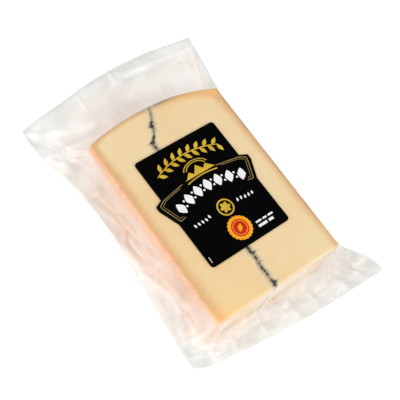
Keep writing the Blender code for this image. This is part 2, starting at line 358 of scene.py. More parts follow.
class Signal:
    """A node's output, with the arithmetic that Python expressions on it stand for."""

    def __init__(self, tree: "Tree", socket: bpy.types.NodeSocket) -> None:
        """Keeps the tree that the output is in."""
        self.tree = tree
        self.socket = socket

    def maths(self, operation: str, *values: "Signal | float", clamp: bool = False) -> "Signal":
        """A Math node on the values."""
        return self.tree.node(
            "ShaderNodeMath", {"operation": operation, "use_clamp": clamp}, dict(enumerate(values))
        )

    def __add__(self, other: "Signal | float") -> "Signal":
        """self + other."""
        return self.maths("ADD", self, other)

    def __radd__(self, other: "Signal | float") -> "Signal":
        """other + self."""
        return self.maths("ADD", other, self)

    def __sub__(self, other: "Signal | float") -> "Signal":
        """self - other."""
        return self.maths("SUBTRACT", self, other)

    def __rsub__(self, other: "Signal | float") -> "Signal":
        """other - self."""
        return self.maths("SUBTRACT", other, self)

    def __mul__(self, other: "Signal | float") -> "Signal":
        """self * other."""
        return self.maths("MULTIPLY", self, other)

    def clamped(self) -> "Signal":
        """The value kept between 0 and 1."""
        return self.maths("ADD", self, 0.0, clamp=True)

    def step(self, low: float, high: float) -> "Signal":
        """A soft step from 0 at low to 1 at high."""
        values = {"Value": self, "From Min": low, "From Max": high}
        return self.tree.node("ShaderNodeMapRange", {"interpolation_type": "SMOOTHSTEP"}, values)


class Tree:
    """A material's nodes."""

    def __init__(self, name: str) -> None:
        """Starts a material with an empty tree."""
        self.material = bpy.data.materials.new(name)
        self.material.use_nodes = True
        self.nodes = self.material.node_tree.nodes
        self.links = self.material.node_tree.links
        self.nodes.clear()

    def node(
        self,
        kind: str,
        settings: dict[str, object] | None = None,
        values: dict[str | int, object] | None = None,
        output: str | int = 0,
    ) -> Signal:
        """Adds a node.

        Args:
            kind: the node's type.
            settings: its own settings, which are set first.
            values: its inputs, as signals to link or plain values.
            output: the output to hand back.

        Returns:
            That output.
        """
        made = self.nodes.new(kind)
        for key, value in (settings or {}).items():
            setattr(made, key, value)
        for key, value in (values or {}).items():
            socket = pick_socket(made.inputs, key)
            if isinstance(value, Signal):
                self.links.new(value.socket, socket)
            else:
                socket.default_value = value
        return Signal(self, pick_socket(made.outputs, output))

    def attribute(self, name: str) -> Signal:
        """A value that the mesh keeps at its points."""
        return self.node("ShaderNodeAttribute", {"attribute_name": name}, output="Fac")

    def coordinates(self) -> Signal:
        """Object coordinates, in metres."""
        return self.node("ShaderNodeTexCoord", output="Object")

    def stretched(self, turn: float, scale: tuple[float, float, float]) -> Signal:
        """Object coordinates, turned about the vertical in degrees and then scaled."""
        rotation = (0.0, 0.0, math.radians(turn))
        values = {"Vector": self.coordinates(), "Rotation": rotation, "Scale": scale}
        return self.node("ShaderNodeMapping", {"vector_type": "POINT"}, values)

    def vector(self, operation: str, values: dict[str | int, object]) -> Signal:
        """A Vector Math node on the values."""
        return self.node("ShaderNodeVectorMath", {"operation": operation}, values)

    def noise(
        self,
        per_metre: float,
        detail: float = 3.0,
        roughness: float = 0.5,
        place: Signal | None = None,
    ) -> Signal:
        """Noise from 0 to 1, with so many lumps in a metre, each finer layer as strong as given."""
        values = {"Scale": per_metre, "Detail": detail, "Roughness": roughness}
        return self.node("ShaderNodeTexNoise", {}, values | {"Vector": place or self.coordinates()}, "Fac")

    def warped(self, place: Signal, per_metre: float, metres: float) -> Signal:
        """Coordinates that a noise moves about.

        Args:
            place: the coordinates.
            per_metre: how many of the noise's lumps there are in a metre.
            metres: twice the distance that they move by at most.

        Returns:
            The moved coordinates.
        """
        values = {"Vector": self.coordinates(), "Scale": per_metre, "Detail": 2.0}
        noise = self.node("ShaderNodeTexNoise", {}, values, "Color")
        centred = self.vector("SUBTRACT", {0: noise, 1: (0.5, 0.5, 0.5)})
        return self.vector("ADD", {0: place, 1: self.vector("SCALE", {0: centred, "Scale": metres})})

    def cells(self, per_metre: float, place: Signal) -> Signal:
        """A random value for each cell of a net, with so many in a metre: the grey of its colour."""
        values = {"Vector": place, "Scale": per_metre, "Randomness": 1.0}
        return self.node("ShaderNodeTexVoronoi", {"feature": "F1"}, values, "Color") * 1.0

    def mix(self, factor: Signal | float, first: Signal | Colour, second: Signal | Colour) -> Signal:
        """A colour between two."""
        values = {"Factor_Float": factor, "A_Color": with_alpha(first), "B_Color": with_alpha(second)}
        return self.node("ShaderNodeMix", {"data_type": "RGBA"}, values, "Result_Color")

    def layered(self, colour: Signal | Colour, *layers: tuple[Signal, Signal | Colour]) -> Signal:
        """A colour with others laid over it.

        Args:
            colour: the lowest colour.
            layers: how much each layer covers and its colour, in order.

        Returns:
            The colour that shows.
        """
        for cover, over in layers:
            colour = self.mix(cover, colour, over)
        return colour

    def bump(self, height: Signal, metres: float) -> Signal:
        """A normal that a height of so many metres at 1 tilts."""
        values = {"Height": height, "Distance": metres, "Strength": 1.0}
        return self.node("ShaderNodeBump", {}, values, "Normal")

    def finish(self, values: dict[str | int, object]) -> Material:
        """Ends the tree in a Principled shader.

        Args:
            values: the shader's inputs, as signals to link or plain values.

        Returns:
            The finished material.
        """
        shader = self.node("ShaderNodeBsdfPrincipled", {}, values)
        made = self.nodes.new("ShaderNodeOutputMaterial")
        self.links.new(shader.socket, made.inputs["Surface"])
        return self.material


def with_alpha(colour: Signal | Colour) -> Signal | tuple[float, ...]:
    """A plain colour with an alpha of 1, or a signal as it is."""
    return colour if isinstance(colour, Signal) else (*colour, 1.0)


def linear(red: int, green: int, blue: int) -> Colour:
    """Light from a colour of the screen: the sRGB curve of each part of 255."""
    parts = (value / 255 for value in (red, green, blue))
    return tuple(p / 12.92 if p <= 0.04045 else ((p + 0.055) / 1.055) ** 2.4 for p in parts)


# Finishes


@dataclass(frozen=True)
class PasteFinish:
    """Ivory paste that turns tan and orange towards the rind, with grey next to the ash."""

    paste: Colour = linear(238, 205, 153)
    warm: Colour = linear(241, 201, 143)
    pale: Colour = linear(240, 216, 169)
    under_rind: Colour = linear(219, 173, 118)
    rind: Colour = linear(240, 180, 118)
    rind_dark: Colour = linear(222, 148, 86)
    golden: Colour = linear(248, 210, 142)
    glow: Colour = linear(250, 192, 120)
    mould: Colour = linear(150, 134, 114)
    halo: Colour = linear(224, 212, 178)
    ash_stain: Colour = linear(128, 120, 98)
    speck: Colour = linear(78, 74, 64)
    roughness: float = 0.42
    rind_reach: float = 5.5
    halo_reach: float = 4.0
    stain_reach: float = 2.0
    bend_of_light: float = 1.42
    scatter: float = 0.12
    scatter_metres: float = 0.0022
    grain_metres: float = 0.00012

    def material(self) -> Material:
        """The finish, from what the mesh keeps: how far the rind and the ash are, gold and mould.

        Returns:
            The material.
        """
        tree = Tree("paste")
        depth = tree.attribute("rind_depth")
        to_ash = tree.attribute("ash_depth")
        golden = tree.attribute("golden")
        broad = tree.noise(28, 2)
        fine = tree.noise(420, 4, 0.6)
        grain = tree.noise(1500, 3, 0.6)

        place = {"Vector": tree.coordinates()}
        across = tree.node("ShaderNodeSeparateXYZ", {}, place, "X")
        along = tree.node("ShaderNodeSeparateXYZ", {}, place, "Y")
        left_back = along.step(0.0, 0.022) * (1 - across.step(-0.02, 0.0))
        paler = broad.step(0.3, 0.7) * 0.55 + (across.step(-0.02, 0.03) * 0.6 + left_back * 0.8)
        uneven = depth + (broad - 0.5) * 2.2 + (tree.noise(110, 3) - 0.5) * 1.6
        blotches = tree.noise(340, 2, 0.5).step(0.5, 0.64) * 0.55
        darker = tree.noise(160, 4, 0.6).step(0.35, 0.7)
        crust = 1 - (depth + (fine - 0.5) * 0.5).step(0.05, 0.9)
        around = to_ash + (fine - 0.5) * 2.4
        specks = tree.noise(900, 2, 0.5).step(0.63, 0.69) * (1 - to_ash.step(0.5, 3.2))
        colour = tree.layered(
            self.paste,
            (paler.clamped(), self.pale),
            (tree.noise(60, 3).step(0.45, 0.75) * 0.4, self.warm),
            (golden, self.golden),
            ((1 - uneven.step(0.6, self.rind_reach)) * 0.9, tree.mix(blotches, self.under_rind, self.rind)),
            (crust, tree.mix(darker, self.rind, self.rind_dark)),
            (((golden - 0.3) * 1.3 * (1 - depth.step(3.0, 8.0))).clamped(), self.glow),
            ((tree.attribute("mould") * (0.7 + fine * 0.6)).clamped(), self.mould),
            ((1 - around.step(0.2, self.halo_reach)) * 0.55, self.halo),
            ((1 - around.step(-0.3, self.stain_reach)) * 0.7, self.ash_stain),
            (specks * 0.75, self.speck),
        )
        height = fine * 0.5 + grain * 0.25 + crust * tree.noise(700, 3, 0.6) * 1.4
        values = {
            "Base Color": colour,
            "Roughness": self.roughness + (grain - 0.5) * 0.2 + crust * 0.18,
            "IOR": self.bend_of_light,
            "Subsurface Weight": self.scatter,
            "Subsurface Radius": (1.0, 0.6, 0.3),
            "Subsurface Scale": self.scatter_metres,
            "Normal": tree.bump(height, self.grain_metres),
        }
        return tree.finish(values)


@dataclass(frozen=True)
class AshFinish:
    """Blue-black ash, with the paste's colour coming through where it lies thin."""

    ash: Colour = linear(46, 40, 35)
    grey: Colour = linear(92, 86, 70)
    through: Colour = linear(172, 158, 122)
    roughness: float = 0.72
    grain_metres: float = 0.00025

    def material(self) -> Material:
        """The finish, from how thick the vein is at each point.

        Returns:
            The material.
        """
        tree = Tree("ash")
        thick = tree.attribute("thickness")
        lumps = tree.noise(520, 4, 0.65)
        grains = tree.noise(2600, 3, 0.6)
        cover = (thick * 0.8 + (lumps - 0.5) * 1.5).step(0.1, 0.8)
        colour = tree.layered(
            self.through,
            (cover, self.grey),
            ((cover * 1.4 - 0.5).clamped(), self.ash),
            (grains.step(0.55, 0.8) * 0.35, self.through),
        )
        values = {
            "Base Color": colour,
            "Roughness": self.roughness + (grains - 0.5) * 0.3,
            "Normal": tree.bump(lumps + grains * 0.4, self.grain_metres),
        }
        return tree.finish(values)


@dataclass(frozen=True)
class FilmFinish:
    """Clear glossy film, milky where the mesh says that it is folded, doubled or sealed, with painted shade,
    painted highlights and painted light bounced from the cheese.
    """

    # From grey to white by the painted shading: the film's milky grey, with painted shade towards the grey
    # and painted highlights towards the white. The warm pair is the same, tinted by painted light bounced
    # from the cheese.
    shaded_film: Colour = (0.50, 0.51, 0.47)
    light: Colour = (0.99, 0.99, 0.97)
    warm_shaded: Colour = (0.55, 0.42, 0.33)
    warm_lit: Colour = (1.0, 0.805, 0.685)
    roughness: float = 0.16
    bend_of_light: float = 1.5
    crinkle_metres: float = 0.0003

    def material(self) -> Material:
        """The finish, from the haze, the painted shading and the painted warm bounce light that the mesh
        keeps.

        Returns:
            The material.
        """
        tree = Tree("film")
        haze = tree.attribute("haze")
        tone = tree.attribute("tone")
        painted_bounce_light = tree.attribute("painted_bounce_light")
        crisp = tree.attribute("crisp")
        soft = tree.noise(95, 3, 0.5)
        fine = tree.noise(520, 4, 0.6)
        bent = tree.warped(tree.stretched(-28, (1.0, 0.45, 1.0)), 60, 0.012)
        # Where the mesh calls the film crisp, the facets' random greys paint small highlights and shade on
        # its crinkles. The same facets also tilt its normals.
        facet = tree.cells(120, bent)
        shade = (tone + (soft - 0.5) * 0.2 + crisp * (facet - 0.5) * 0.3).clamped()
        cool = tree.mix(shade, self.shaded_film, self.light)
        warm = tree.mix(shade, self.warm_shaded, self.warm_lit)
        # Near the cheese the film is tinted warm: painted light bounced from the cheese.
        colour = tree.mix(painted_bounce_light.clamped(), cool, warm)
        alpha = haze * (0.9 + soft * 0.2)
        streaks = tree.noise(170, 2, 0.5, tree.stretched(32, (1.0, 0.35, 1.0)))
        creases = streaks + facet * crisp * 0.15
        values = {
            "Base Color": colour,
            "Roughness": self.roughness + haze * 0.2 + (fine - 0.5) * 0.06,
            "IOR": self.bend_of_light,
            "Alpha": alpha.clamped(),
            "Normal": tree.bump(creases + fine * 0.1, self.crinkle_metres),
        }
        return tree.finish(values)


@dataclass(frozen=True)
class InkFinish:
    """Printed ink or coated paper: one colour with a slight mottle and a slight tooth."""

    name: str
    colour: Colour
    shade: Colour
    roughness: float = 0.4
    level: float = 0.3
    tooth_metres: float = 0.00001

    def material(self) -> Material:
        """The finish.

        Returns:
            The material.
        """
        tree = Tree(self.name)
        cloud = tree.noise(140, 3, 0.5)
        tooth = tree.noise(3200, 3, 0.6)
        values = {
            "Base Color": tree.mix(cloud.step(0.3, 0.75) * 0.8, self.colour, self.shade),
            "Roughness": self.roughness + (cloud - 0.5) * 0.12 + (tooth - 0.5) * 0.06,
            "Specular IOR Level": self.level,
            "Normal": tree.bump(tooth, self.tooth_metres),
        }
        return tree.finish(values)


PAPER = InkFinish("label_paper", linear(4, 4, 5), linear(2, 2, 3), 0.3, 0.03)
GOLD = InkFinish("gold_ink", linear(220, 184, 54), linear(196, 152, 34), 0.38)
PALE_GOLD = InkFinish("pale_gold_ink", linear(170, 146, 84), linear(140, 118, 62))
WHITE = InkFinish("white_ink", linear(246, 246, 244), linear(232, 232, 230))
ORANGE = InkFinish("orange_ink", linear(250, 168, 16), linear(242, 152, 10))
RED = InkFinish("red_ink", linear(200, 34, 6), linear(186, 26, 4))


# The cheese

# How often a point that lies on two curves is moved from one to the other until it stays
SETTLING = 4


@dataclass(frozen=True)
class Portion:
    """The cheese's form: its plan, its rounded edges and the course of the ash through it.

    The plan is a rectangle whose far end is the wheel's rim, with rounded upright corners. The
    corners' centres lie inside the true corners, and a ring of the portion lies its reach outside
    the line through them.
    """

    width: float = 68.9
    front: float = -0.8
    low: float = 0.2
    high: float = 31.8
    solid_low: float = 0.8
    thickness: float = 31.0
    rim_reach: float = 97.4
    rim_drop_left: float = 4.1
    rim_drop_right: float = 6.9
    rim_power: float = 2.2
    corner_radius: float = 1.3
    edge_radius: float = 1.0
    corner_share: float = 0.09
    ash_line: Rows = (
        (-3.3, -6.0), (-3.1, 2.0), (-3.0, 10.0), (-3.0, 20.0), (-3.9, 34.0), (-5.6, 48.0), (-7.2, 60.0),
        (-8.3, 69.0), (-8.9, 75.5), (-9.1, 80.0), (-7.3, 83.0), (-5.3, 86.0), (-4.6, 89.0),
        (-2.4, 91.5), (-0.9, 94.0), (-0.2, 97.0), (0.3, 102.0),
    )
    ash_wander: float = 1.4
    # Where the vein is thick on the upper face: place along, how far it swells to the left and to
    # the right, and the spread along
    lumps: Rows = (
        (0.1, 0.95, 0.1, 0.55), (1.3, 0.3, 1.15, 0.65), (2.3, 0.55, 0.15, 0.6), (5.8, 0.05, 0.5, 0.7),
        (7.5, 0.1, 0.55, 0.7), (9.4, 0.5, 0.25, 1.1), (11.6, 0.35, 0.1, 0.6), (14.3, 0.35, 0.25, 0.9),
        (16.6, 0.0, 1.3, 0.4), (17.8, 0.55, 0.1, 0.7), (19.6, 0.4, 0.9, 0.8), (78.6, 0.4, 0.4, 0.8),
        (80.9, 0.9, 0.45, 0.55), (81.6, 1.5, 0.0, 0.3), (82.7, 0.5, 0.3, 0.4), (83.5, 0.3, 0.45, 0.5),
        (86.0, 0.15, 0.1, 0.7), (88.3, 0.85, 0.75, 0.75), (89.8, 0.3, 0.55, 0.5),
    )
    vein: float = 0.47

    def rim(self, across: Array) -> Array:
        """How far along the rim lies: its reach less a drop, by the share across to a power."""
        drop = np.where(np.asarray(across) < 0, self.rim_drop_left, self.rim_drop_right)
        return self.rim_reach - drop * np.abs(2 * np.asarray(across) / self.width) ** self.rim_power

    def outline(self, side: Array, share: Array, reach: Value) -> Array:
        """Points of a ring of the plan.

        Formula: along a side the point is a point of the line through the corners' centres, moved
        out by the reach. Near a corner it stays at the centre and its direction turns by 45°.

        Args:
            side: the side's number, as in Side.
            share: how far along the side the point lies.
            reach: how far outside the line through the corners' centres it lies.

        Returns:
            Plan points, across and along.
        """
        half = self.width / 2 - self.corner_radius
        bend = self.corner_share
        run = np.clip((share - bend) / (1 - 2 * bend), 0.0, 1.0)
        turn = np.where(share < bend, -(1 - share / bend), 0.0)
        turn = np.where(share > 1 - bend, 1 - (1 - share) / bend, turn) * math.pi / 4
        near = self.front + self.corner_radius
        right_top = self.rim(half) - self.corner_radius
        left_top = self.rim(-half) - self.corner_radius
        rim_across = half * (1 - 2 * run)
        across = np.choose(side, [half * (2 * run - 1), half + 0 * run, rim_across, -half + 0 * run])
        along = np.choose(
            side,
            [
                near + 0 * run,
                near + (right_top - near) * run,
                self.rim(rim_across) - self.corner_radius,
                left_top + (near - left_top) * run,
            ],
        )
        angle = (side - 1) * math.pi / 2 + turn
        return np.stack([across + reach * np.cos(angle), along + reach * np.sin(angle)], axis=-1)

    def ash_across(self, along: Array, height: Array) -> Array:
        """How far across the middle of the ash lies.

        Formula: the line on the upper face, plus a slow wave that grows with the depth, plus a
        small ripple.

        Args:
            along: the place along the portion.
            height: the height.

        Returns:
            The place across it.
        """
        course = spline(self.ash_line, np.linspace(0, 1, 400))
        along = np.asarray(along, float)
        above = np.asarray(height, float) - self.solid_low
        depth = 1 - above / self.thickness
        wander = self.ash_wander * depth * np.sin(along / 15 + 2.5 * depth)
        ripple = 0.25 * np.sin(along / 2.3 + above / 4)
        return np.interp(along, course[:, 1], course[:, 0]) + wander + ripple

    def ash_reach(self, along: Array, height: Array, side: Half) -> Array:
        """How far the vein reaches to one side of its middle: uneven, with lumps that fade below.

        Formula: half of the thin vein times a noise, less near the rim, plus each lump's bell
        times a finer noise.

        Args:
            along: the place along the portion.
            height: the height.
            side: the side of the ash.

        Returns:
            How far it reaches.
        """
        along = np.asarray(along, float)
        height = np.asarray(height, float)
        fine = Noise(5).at(along / 0.9, height / 2.0)
        broad = Noise(6).at(along / 4, height / 6)
        thick = self.vein / 2 * np.clip(0.75 + 0.8 * fine + 0.5 * broad, 0.25, 2.2)
        thick = thick * (1 - 0.6 * smoothstep(90.0, 92.0, along))
        near_top = 0.35 + 0.65 * smoothstep(self.high - 14, self.high, height)
        ragged = 1 + 0.5 * Noise(16 + side.value).at(along / 0.5, height / 1.5)
        for place, left, right, spread in self.lumps:
            extra = left if side is Half.LEFT else right
            thick = thick + extra * bell(along, place, spread) * near_top * ragged
        return np.clip(thick, 0.06, 2.2)

    def rounding(self, steps: int) -> tuple[Array, Array]:
        """The rounded edge, as a quarter of a circle.

        Args:
            steps: how many rings it has.

        Returns:
            How far out and how far down each ring lies.
        """
        bend = np.linspace(0, math.pi / 2, steps)
        out = self.corner_radius - self.edge_radius * (1 - np.sin(bend))
        return out, self.edge_radius * (1 - np.cos(bend))

    def stack(
        self, ring: Callable[[float, float], Array], heights: tuple[float, float], counts: tuple[int, int]
    ) -> Array:
        """Level rings down the wall, with both rounded edges.

        Args:
            ring: makes a ring from its reach and height.
            heights: those of the upper and the lower face.
            counts: how many rings each edge and the wall have.

        Returns:
            Points, by ring and station.
        """
        top, bottom = heights
        reaches, drops = self.rounding(counts[0])
        upper = [ring(reach, top - drop) for reach, drop in zip(reaches, drops)]
        lower = [ring(reach, bottom + drop) for reach, drop in zip(reaches, drops)][::-1]
        levels = np.linspace(top - self.edge_radius, bottom + self.edge_radius, counts[1])
        wall = [ring(self.corner_radius, level) for level in levels[1:-1]]
        return np.stack(upper + wall + lower)

    def looks(self, across: Array, along: Array, height: Array) -> dict[str, Array]:
        """What the paste's finish needs to know at each point.

        Formula: the depth is the distance to the nearest rind: a flat side, the rim or a corner.
        It counts for less where the rind's orange reaches further, near the rim's right corner
        and along the left side's front part, and for more along the rim's left half. The gold is
        the sum of soft steps away from the front's left half and the rim's right one, and of
        falls away from the near left and the far right corner. The mould falls from 1 at the rim
        and the right side to 0 within a small reach, times a bell across the rim or a slow noise
        along the side, and fades to less than half down the walls.

        Args:
            across: the place across the portion.
            along: the place along it.
            height: the height.

        Returns:
            The depth below the rind, the gold and the mould.
        """
        end = self.rim(across) - along
        to_right = self.width / 2 - across
        to_far_corner = np.hypot(to_right, end)
        to_near_corner = np.hypot(across + self.width / 2, along - self.front)

        radius = self.corner_radius
        side = self.width / 2 - np.abs(across)
        corner = radius - np.hypot(radius - side, radius - end)
        at_corner = (side < radius) & (end < radius)
        depth = np.maximum(np.where(at_corner, corner, np.minimum(side, end)), 0.0)
        more = 0.6 * bell(to_far_corner, 0.0, 9.0)
        more = more + 0.2 * bell(along, 16.0, 16.0) * smoothstep(0.0, -20.0, across)
        less = (1 - smoothstep(3.0, 10.0, end)) * smoothstep(-33.0, -27.0, across)
        depth = depth * (1 - more + 0.9 * less * smoothstep(0.0, -8.0, across))

        front = 0.3 * (1 - smoothstep(0.0, 16.0, along)) * (1 - smoothstep(-14.0, -2.0, across))
        rim = 0.45 * (1 - smoothstep(2.0, 8.0, end)) * smoothstep(4.0, 18.0, across)
        gold = front + rim + 0.85 * np.exp(-to_near_corner / 7) + 0.5 * bell(to_far_corner, 0.0, 8.0)

        at_rim = (1 - smoothstep(0.5, 2.6, end)) * (bell(across, 4.0, 9.5) + 0.03)
        uneven = 0.5 + 0.35 * Noise(14).at(along / 13, (self.high - height) / 7)
        flank = (1 - smoothstep(0.3, 2.2, to_right)) * uneven * smoothstep(10.0, 24.0, along)
        faded = 0.4 + 0.6 * smoothstep(self.high - 5.0, self.high - 0.5, height)
        mould = np.maximum(at_rim * 0.85, flank) * faded
        return {"rind_depth": depth, "golden": np.clip(gold, 0.0, 1.0), "mould": np.clip(mould, 0.0, 1.0)}


@dataclass(frozen=True)
class PasteHalf:
    """One layer of paste, from the rind to the ash: a closed loft with rings that shrink on its ends."""

    portion: Portion
    half: Half
    front_steps: int = 52
    corner_steps: int = 12
    side_steps: int = 116
    cap_rings: int = 22
    wall_rings: int = 24
    edge_rings: int = 6
    end_inset: float = 14.0
    ash_overlap: float = 0.04
    ash_least: float = 0.03

    def ring(self, reach: float, height: float) -> Array:
        """One level ring: front, corner, side, corner, rim, and back along the ash.

        Args:
            reach: how far outside the line through the corners' centres the ring lies.
            height: its height.

        Returns:
            Its points, with the same number for every reach and height.
        """
        form = self.portion
        sign = self.half.value
        centre = form.width / 2 - form.corner_radius
        inner = form.corner_radius
        near = form.front + inner
        top = float(form.rim(sign * centre)) - inner

        def ash(along: Array) -> Array:
            """The side of the ash that this half meets."""
            gap = form.ash_reach(along, height, self.half) - self.ash_overlap
            return form.ash_across(along, height) + sign * np.maximum(gap, self.ash_least)

        front = near - reach
        outer = sign * (centre + reach)
        start = float(ash(np.array(front)))
        end = start
        for _ in range(SETTLING):
            end = float(ash(form.rim(end) - inner + reach))
        share = evenly(self.front_steps)
        front_line = np.stack([start + (sign * centre - start) * share, front + 0 * share], -1)
        across = sign * centre + (end - sign * centre) * share
        rim_line = np.stack([across, form.rim(across) - inner + reach], -1)
        angle = evenly(self.corner_steps, math.pi / 2)
        sine, cosine = np.sin(angle), np.cos(angle)
        near_corner = np.stack([sign * (centre + reach * sine), near - reach * cosine], -1)
        far_corner = np.stack([sign * (centre + reach * cosine), top + reach * sine], -1)
        share = evenly(self.side_steps)
        side_line = np.stack([outer + 0 * share, near + (top - near) * share], -1)
        along = form.rim(end) - inner + reach
        along = along + (front - along) * share
        ash_line = np.stack([ash(along), along], -1)
        plan = np.vstack([front_line, near_corner, side_line, far_corner, rim_line, ash_line])
        return np.column_stack([plan, np.full(len(plan), height)])

    def cap(self, ring: Array) -> Array:
        """Rings from the middle line of an end out to the ring round it.

        Formula: every point moves straight from its foot on the middle line to its own place.

        Args:
            ring: the ring round the end.

        Returns:
            Points, by ring and station, without the outermost ring itself.
        """
        form = self.portion
        foot_along = np.clip(ring[:, 1], self.end_inset, form.rim_reach - self.end_inset)
        rind_side = self.half.value * form.width / 2
        foot_across = (form.ash_across(foot_along, ring[:, 2]) + rind_side) / 2
        foot = np.column_stack([foot_across, foot_along, ring[:, 2]])
        way = (np.linspace(0.03, 1.0, self.cap_rings) ** 0.85)[:-1, None, None]
        return foot * (1 - way) + ring * way

    def surface(self) -> Surface:
        """The closed surface, with the depth below the rind and the distance to the ash.

        Formula: rings over the upper end, down the rounded edge, the wall and the lower edge, and
        back over the lower end. Slow noise moves the cut faces and finer noise the rind.

        Returns:
            The surface.
        """
        form = self.portion
        rings = form.stack(self.ring, (form.high, form.low), (self.edge_rings, self.wall_rings))
        surface = loft(np.concatenate([self.cap(rings[0]), rings, self.cap(rings[-1])[::-1]]))
        across, along, height = surface.points.T
        to_ash = (across - form.ash_across(along, height)) * self.half.value
        surface.values = form.looks(across, along, height)
        reach = form.ash_reach(along, height, self.half)
        surface.values["ash_depth"] = np.maximum(to_ash - reach, 0.0)
        face = smoothstep(form.high - 0.4, form.high, height) - smoothstep(0.6, 0.2, height)
        broad = Noise(11).at(across / 9, along / 9)
        sink = 0.06 * broad + 0.03 * Noise(12).at(across / 2.5, along / 2.5)
        surface.points[:, 2] += face * (sink - 0.06)
        rough = 0.16 * Noise(13).at((across + along) / 1.7, height / 1.4)
        at_rind = 1 - smoothstep(0.0, 0.4, surface.values["rind_depth"])
        middle = np.array([self.half.value * form.width / 4, form.rim_reach / 2])
        outward = surface.points[:, :2] - middle
        outward /= np.linalg.norm(outward, axis=1, keepdims=True)
        surface.points[:, :2] += outward * (at_rind * (rough - 0.12))[:, None]
        return surface


@dataclass(frozen=True)
class AshVein:
    """The ash between the two layers: a thin standing sheet, as thick as the portion's form says."""

    portion: Portion
    along_steps: int = 420
    wall_rings: int = 40
    edge_rings: int = 5
    proud: float = 0.05

    def ring(self, reach: float, height: float) -> Array:
        """One level ring: out along the vein's right side and back along its left one.

        Args:
            reach: how far outside the line through the corners' centres its ends lie.
            height: its height.

        Returns:
            Its points.
        """
        form = self.portion
        inner = form.corner_radius
        end = 0.0
        for _ in range(SETTLING):
            end = float(form.ash_across(np.array(form.rim(end) - inner + reach), height))
        first = form.front + inner - reach - self.proud
        last = float(form.rim(end)) - inner + reach + self.proud
        along = np.linspace(first, last, self.along_steps)
        middle = form.ash_across(along, height)
        right = np.stack([middle + form.ash_reach(along, height, Half.RIGHT), along], -1)
        left = np.stack([middle - form.ash_reach(along, height, Half.LEFT), along], -1)[::-1]
        plan = np.vstack([right, left])
        return np.column_stack([plan, np.full(len(plan), height)])

    def surface(self) -> Surface:
        """The closed surface, with the vein's thickness at its points.

        Formula: level rings from the upper face to the lower one, and each end closed by a strip
        of four-sided faces between the two sides, turned as the faces of the loft are.

        Returns:
            The surface.
        """
        form = self.portion
        heights = (form.high + self.proud, form.low)
        rings = form.stack(self.ring, heights, (self.edge_rings, self.wall_rings))
        surface = loft(rings, close_ends=False)
        size = rings.shape[1]
        step = np.arange(self.along_steps - 1)
        strip = np.stack([step, step + 1, size - 2 - step, size - 1 - step], -1)
        turned = surface.faces[0][0][1] == 0
        top_strip = strip[:, ::-1] if turned else strip
        bottom_strip = top_strip[:, ::-1] + (len(rings) - 1) * size
        surface.faces += [top_strip, bottom_strip]
        _, along, height = surface.points.T
        surface.values["thickness"] = sum(form.ash_reach(along, height, half) for half in Half)
        return surface


# The pouch


@dataclass(frozen=True)
class Crease:
    """One fold of the loose film.

    The line is in plan, and the height and width are those of its ridge. The painted shading is the painted
    highlight or shade along the ridge, and the step how much lighter the film is painted to the line's left
    than to its right.
    """

    line: Rows
    height: float
    width: float
    tone: float
    step: float = 0.0
    step_blur: ClassVar[float] = 1.3
    step_reach: ClassVar[float] = 2.5

    def reach(self, plan: Array) -> tuple[Array, Array]:
        """How strongly each plan point takes part.

        Formula: with the distance d from the nearest point of the line, the ridge is e to the
        minus square of d over the width. The step is e to the minus d over its reach, times the
        hyperbolic tangent of the distance to the line's left over its blur.

        Args:
            plan: across and along of the points.

        Returns:
            The ridge and the step.
        """
        nearest = np.full(plan.shape[:-1], np.inf)
        beside = np.zeros(plan.shape[:-1])
        for start, end in zip(self.line, self.line[1:]):
            start, run = np.array(start), np.subtract(end, start)
            from_start = plan - start
            share = np.clip((from_start @ run) / (run @ run), 0.0, 1.0)
            away = np.linalg.norm(from_start - share[..., None] * run, axis=-1)
            left = (run[0] * from_start[..., 1] - run[1] * from_start[..., 0]) / np.linalg.norm(run)
            beside = np.where(away < nearest, np.tanh(left / self.step_blur), beside)
            nearest = np.minimum(nearest, away)
        return np.exp(-((nearest / self.width) ** 2)), beside * np.exp(-nearest / self.step_reach)


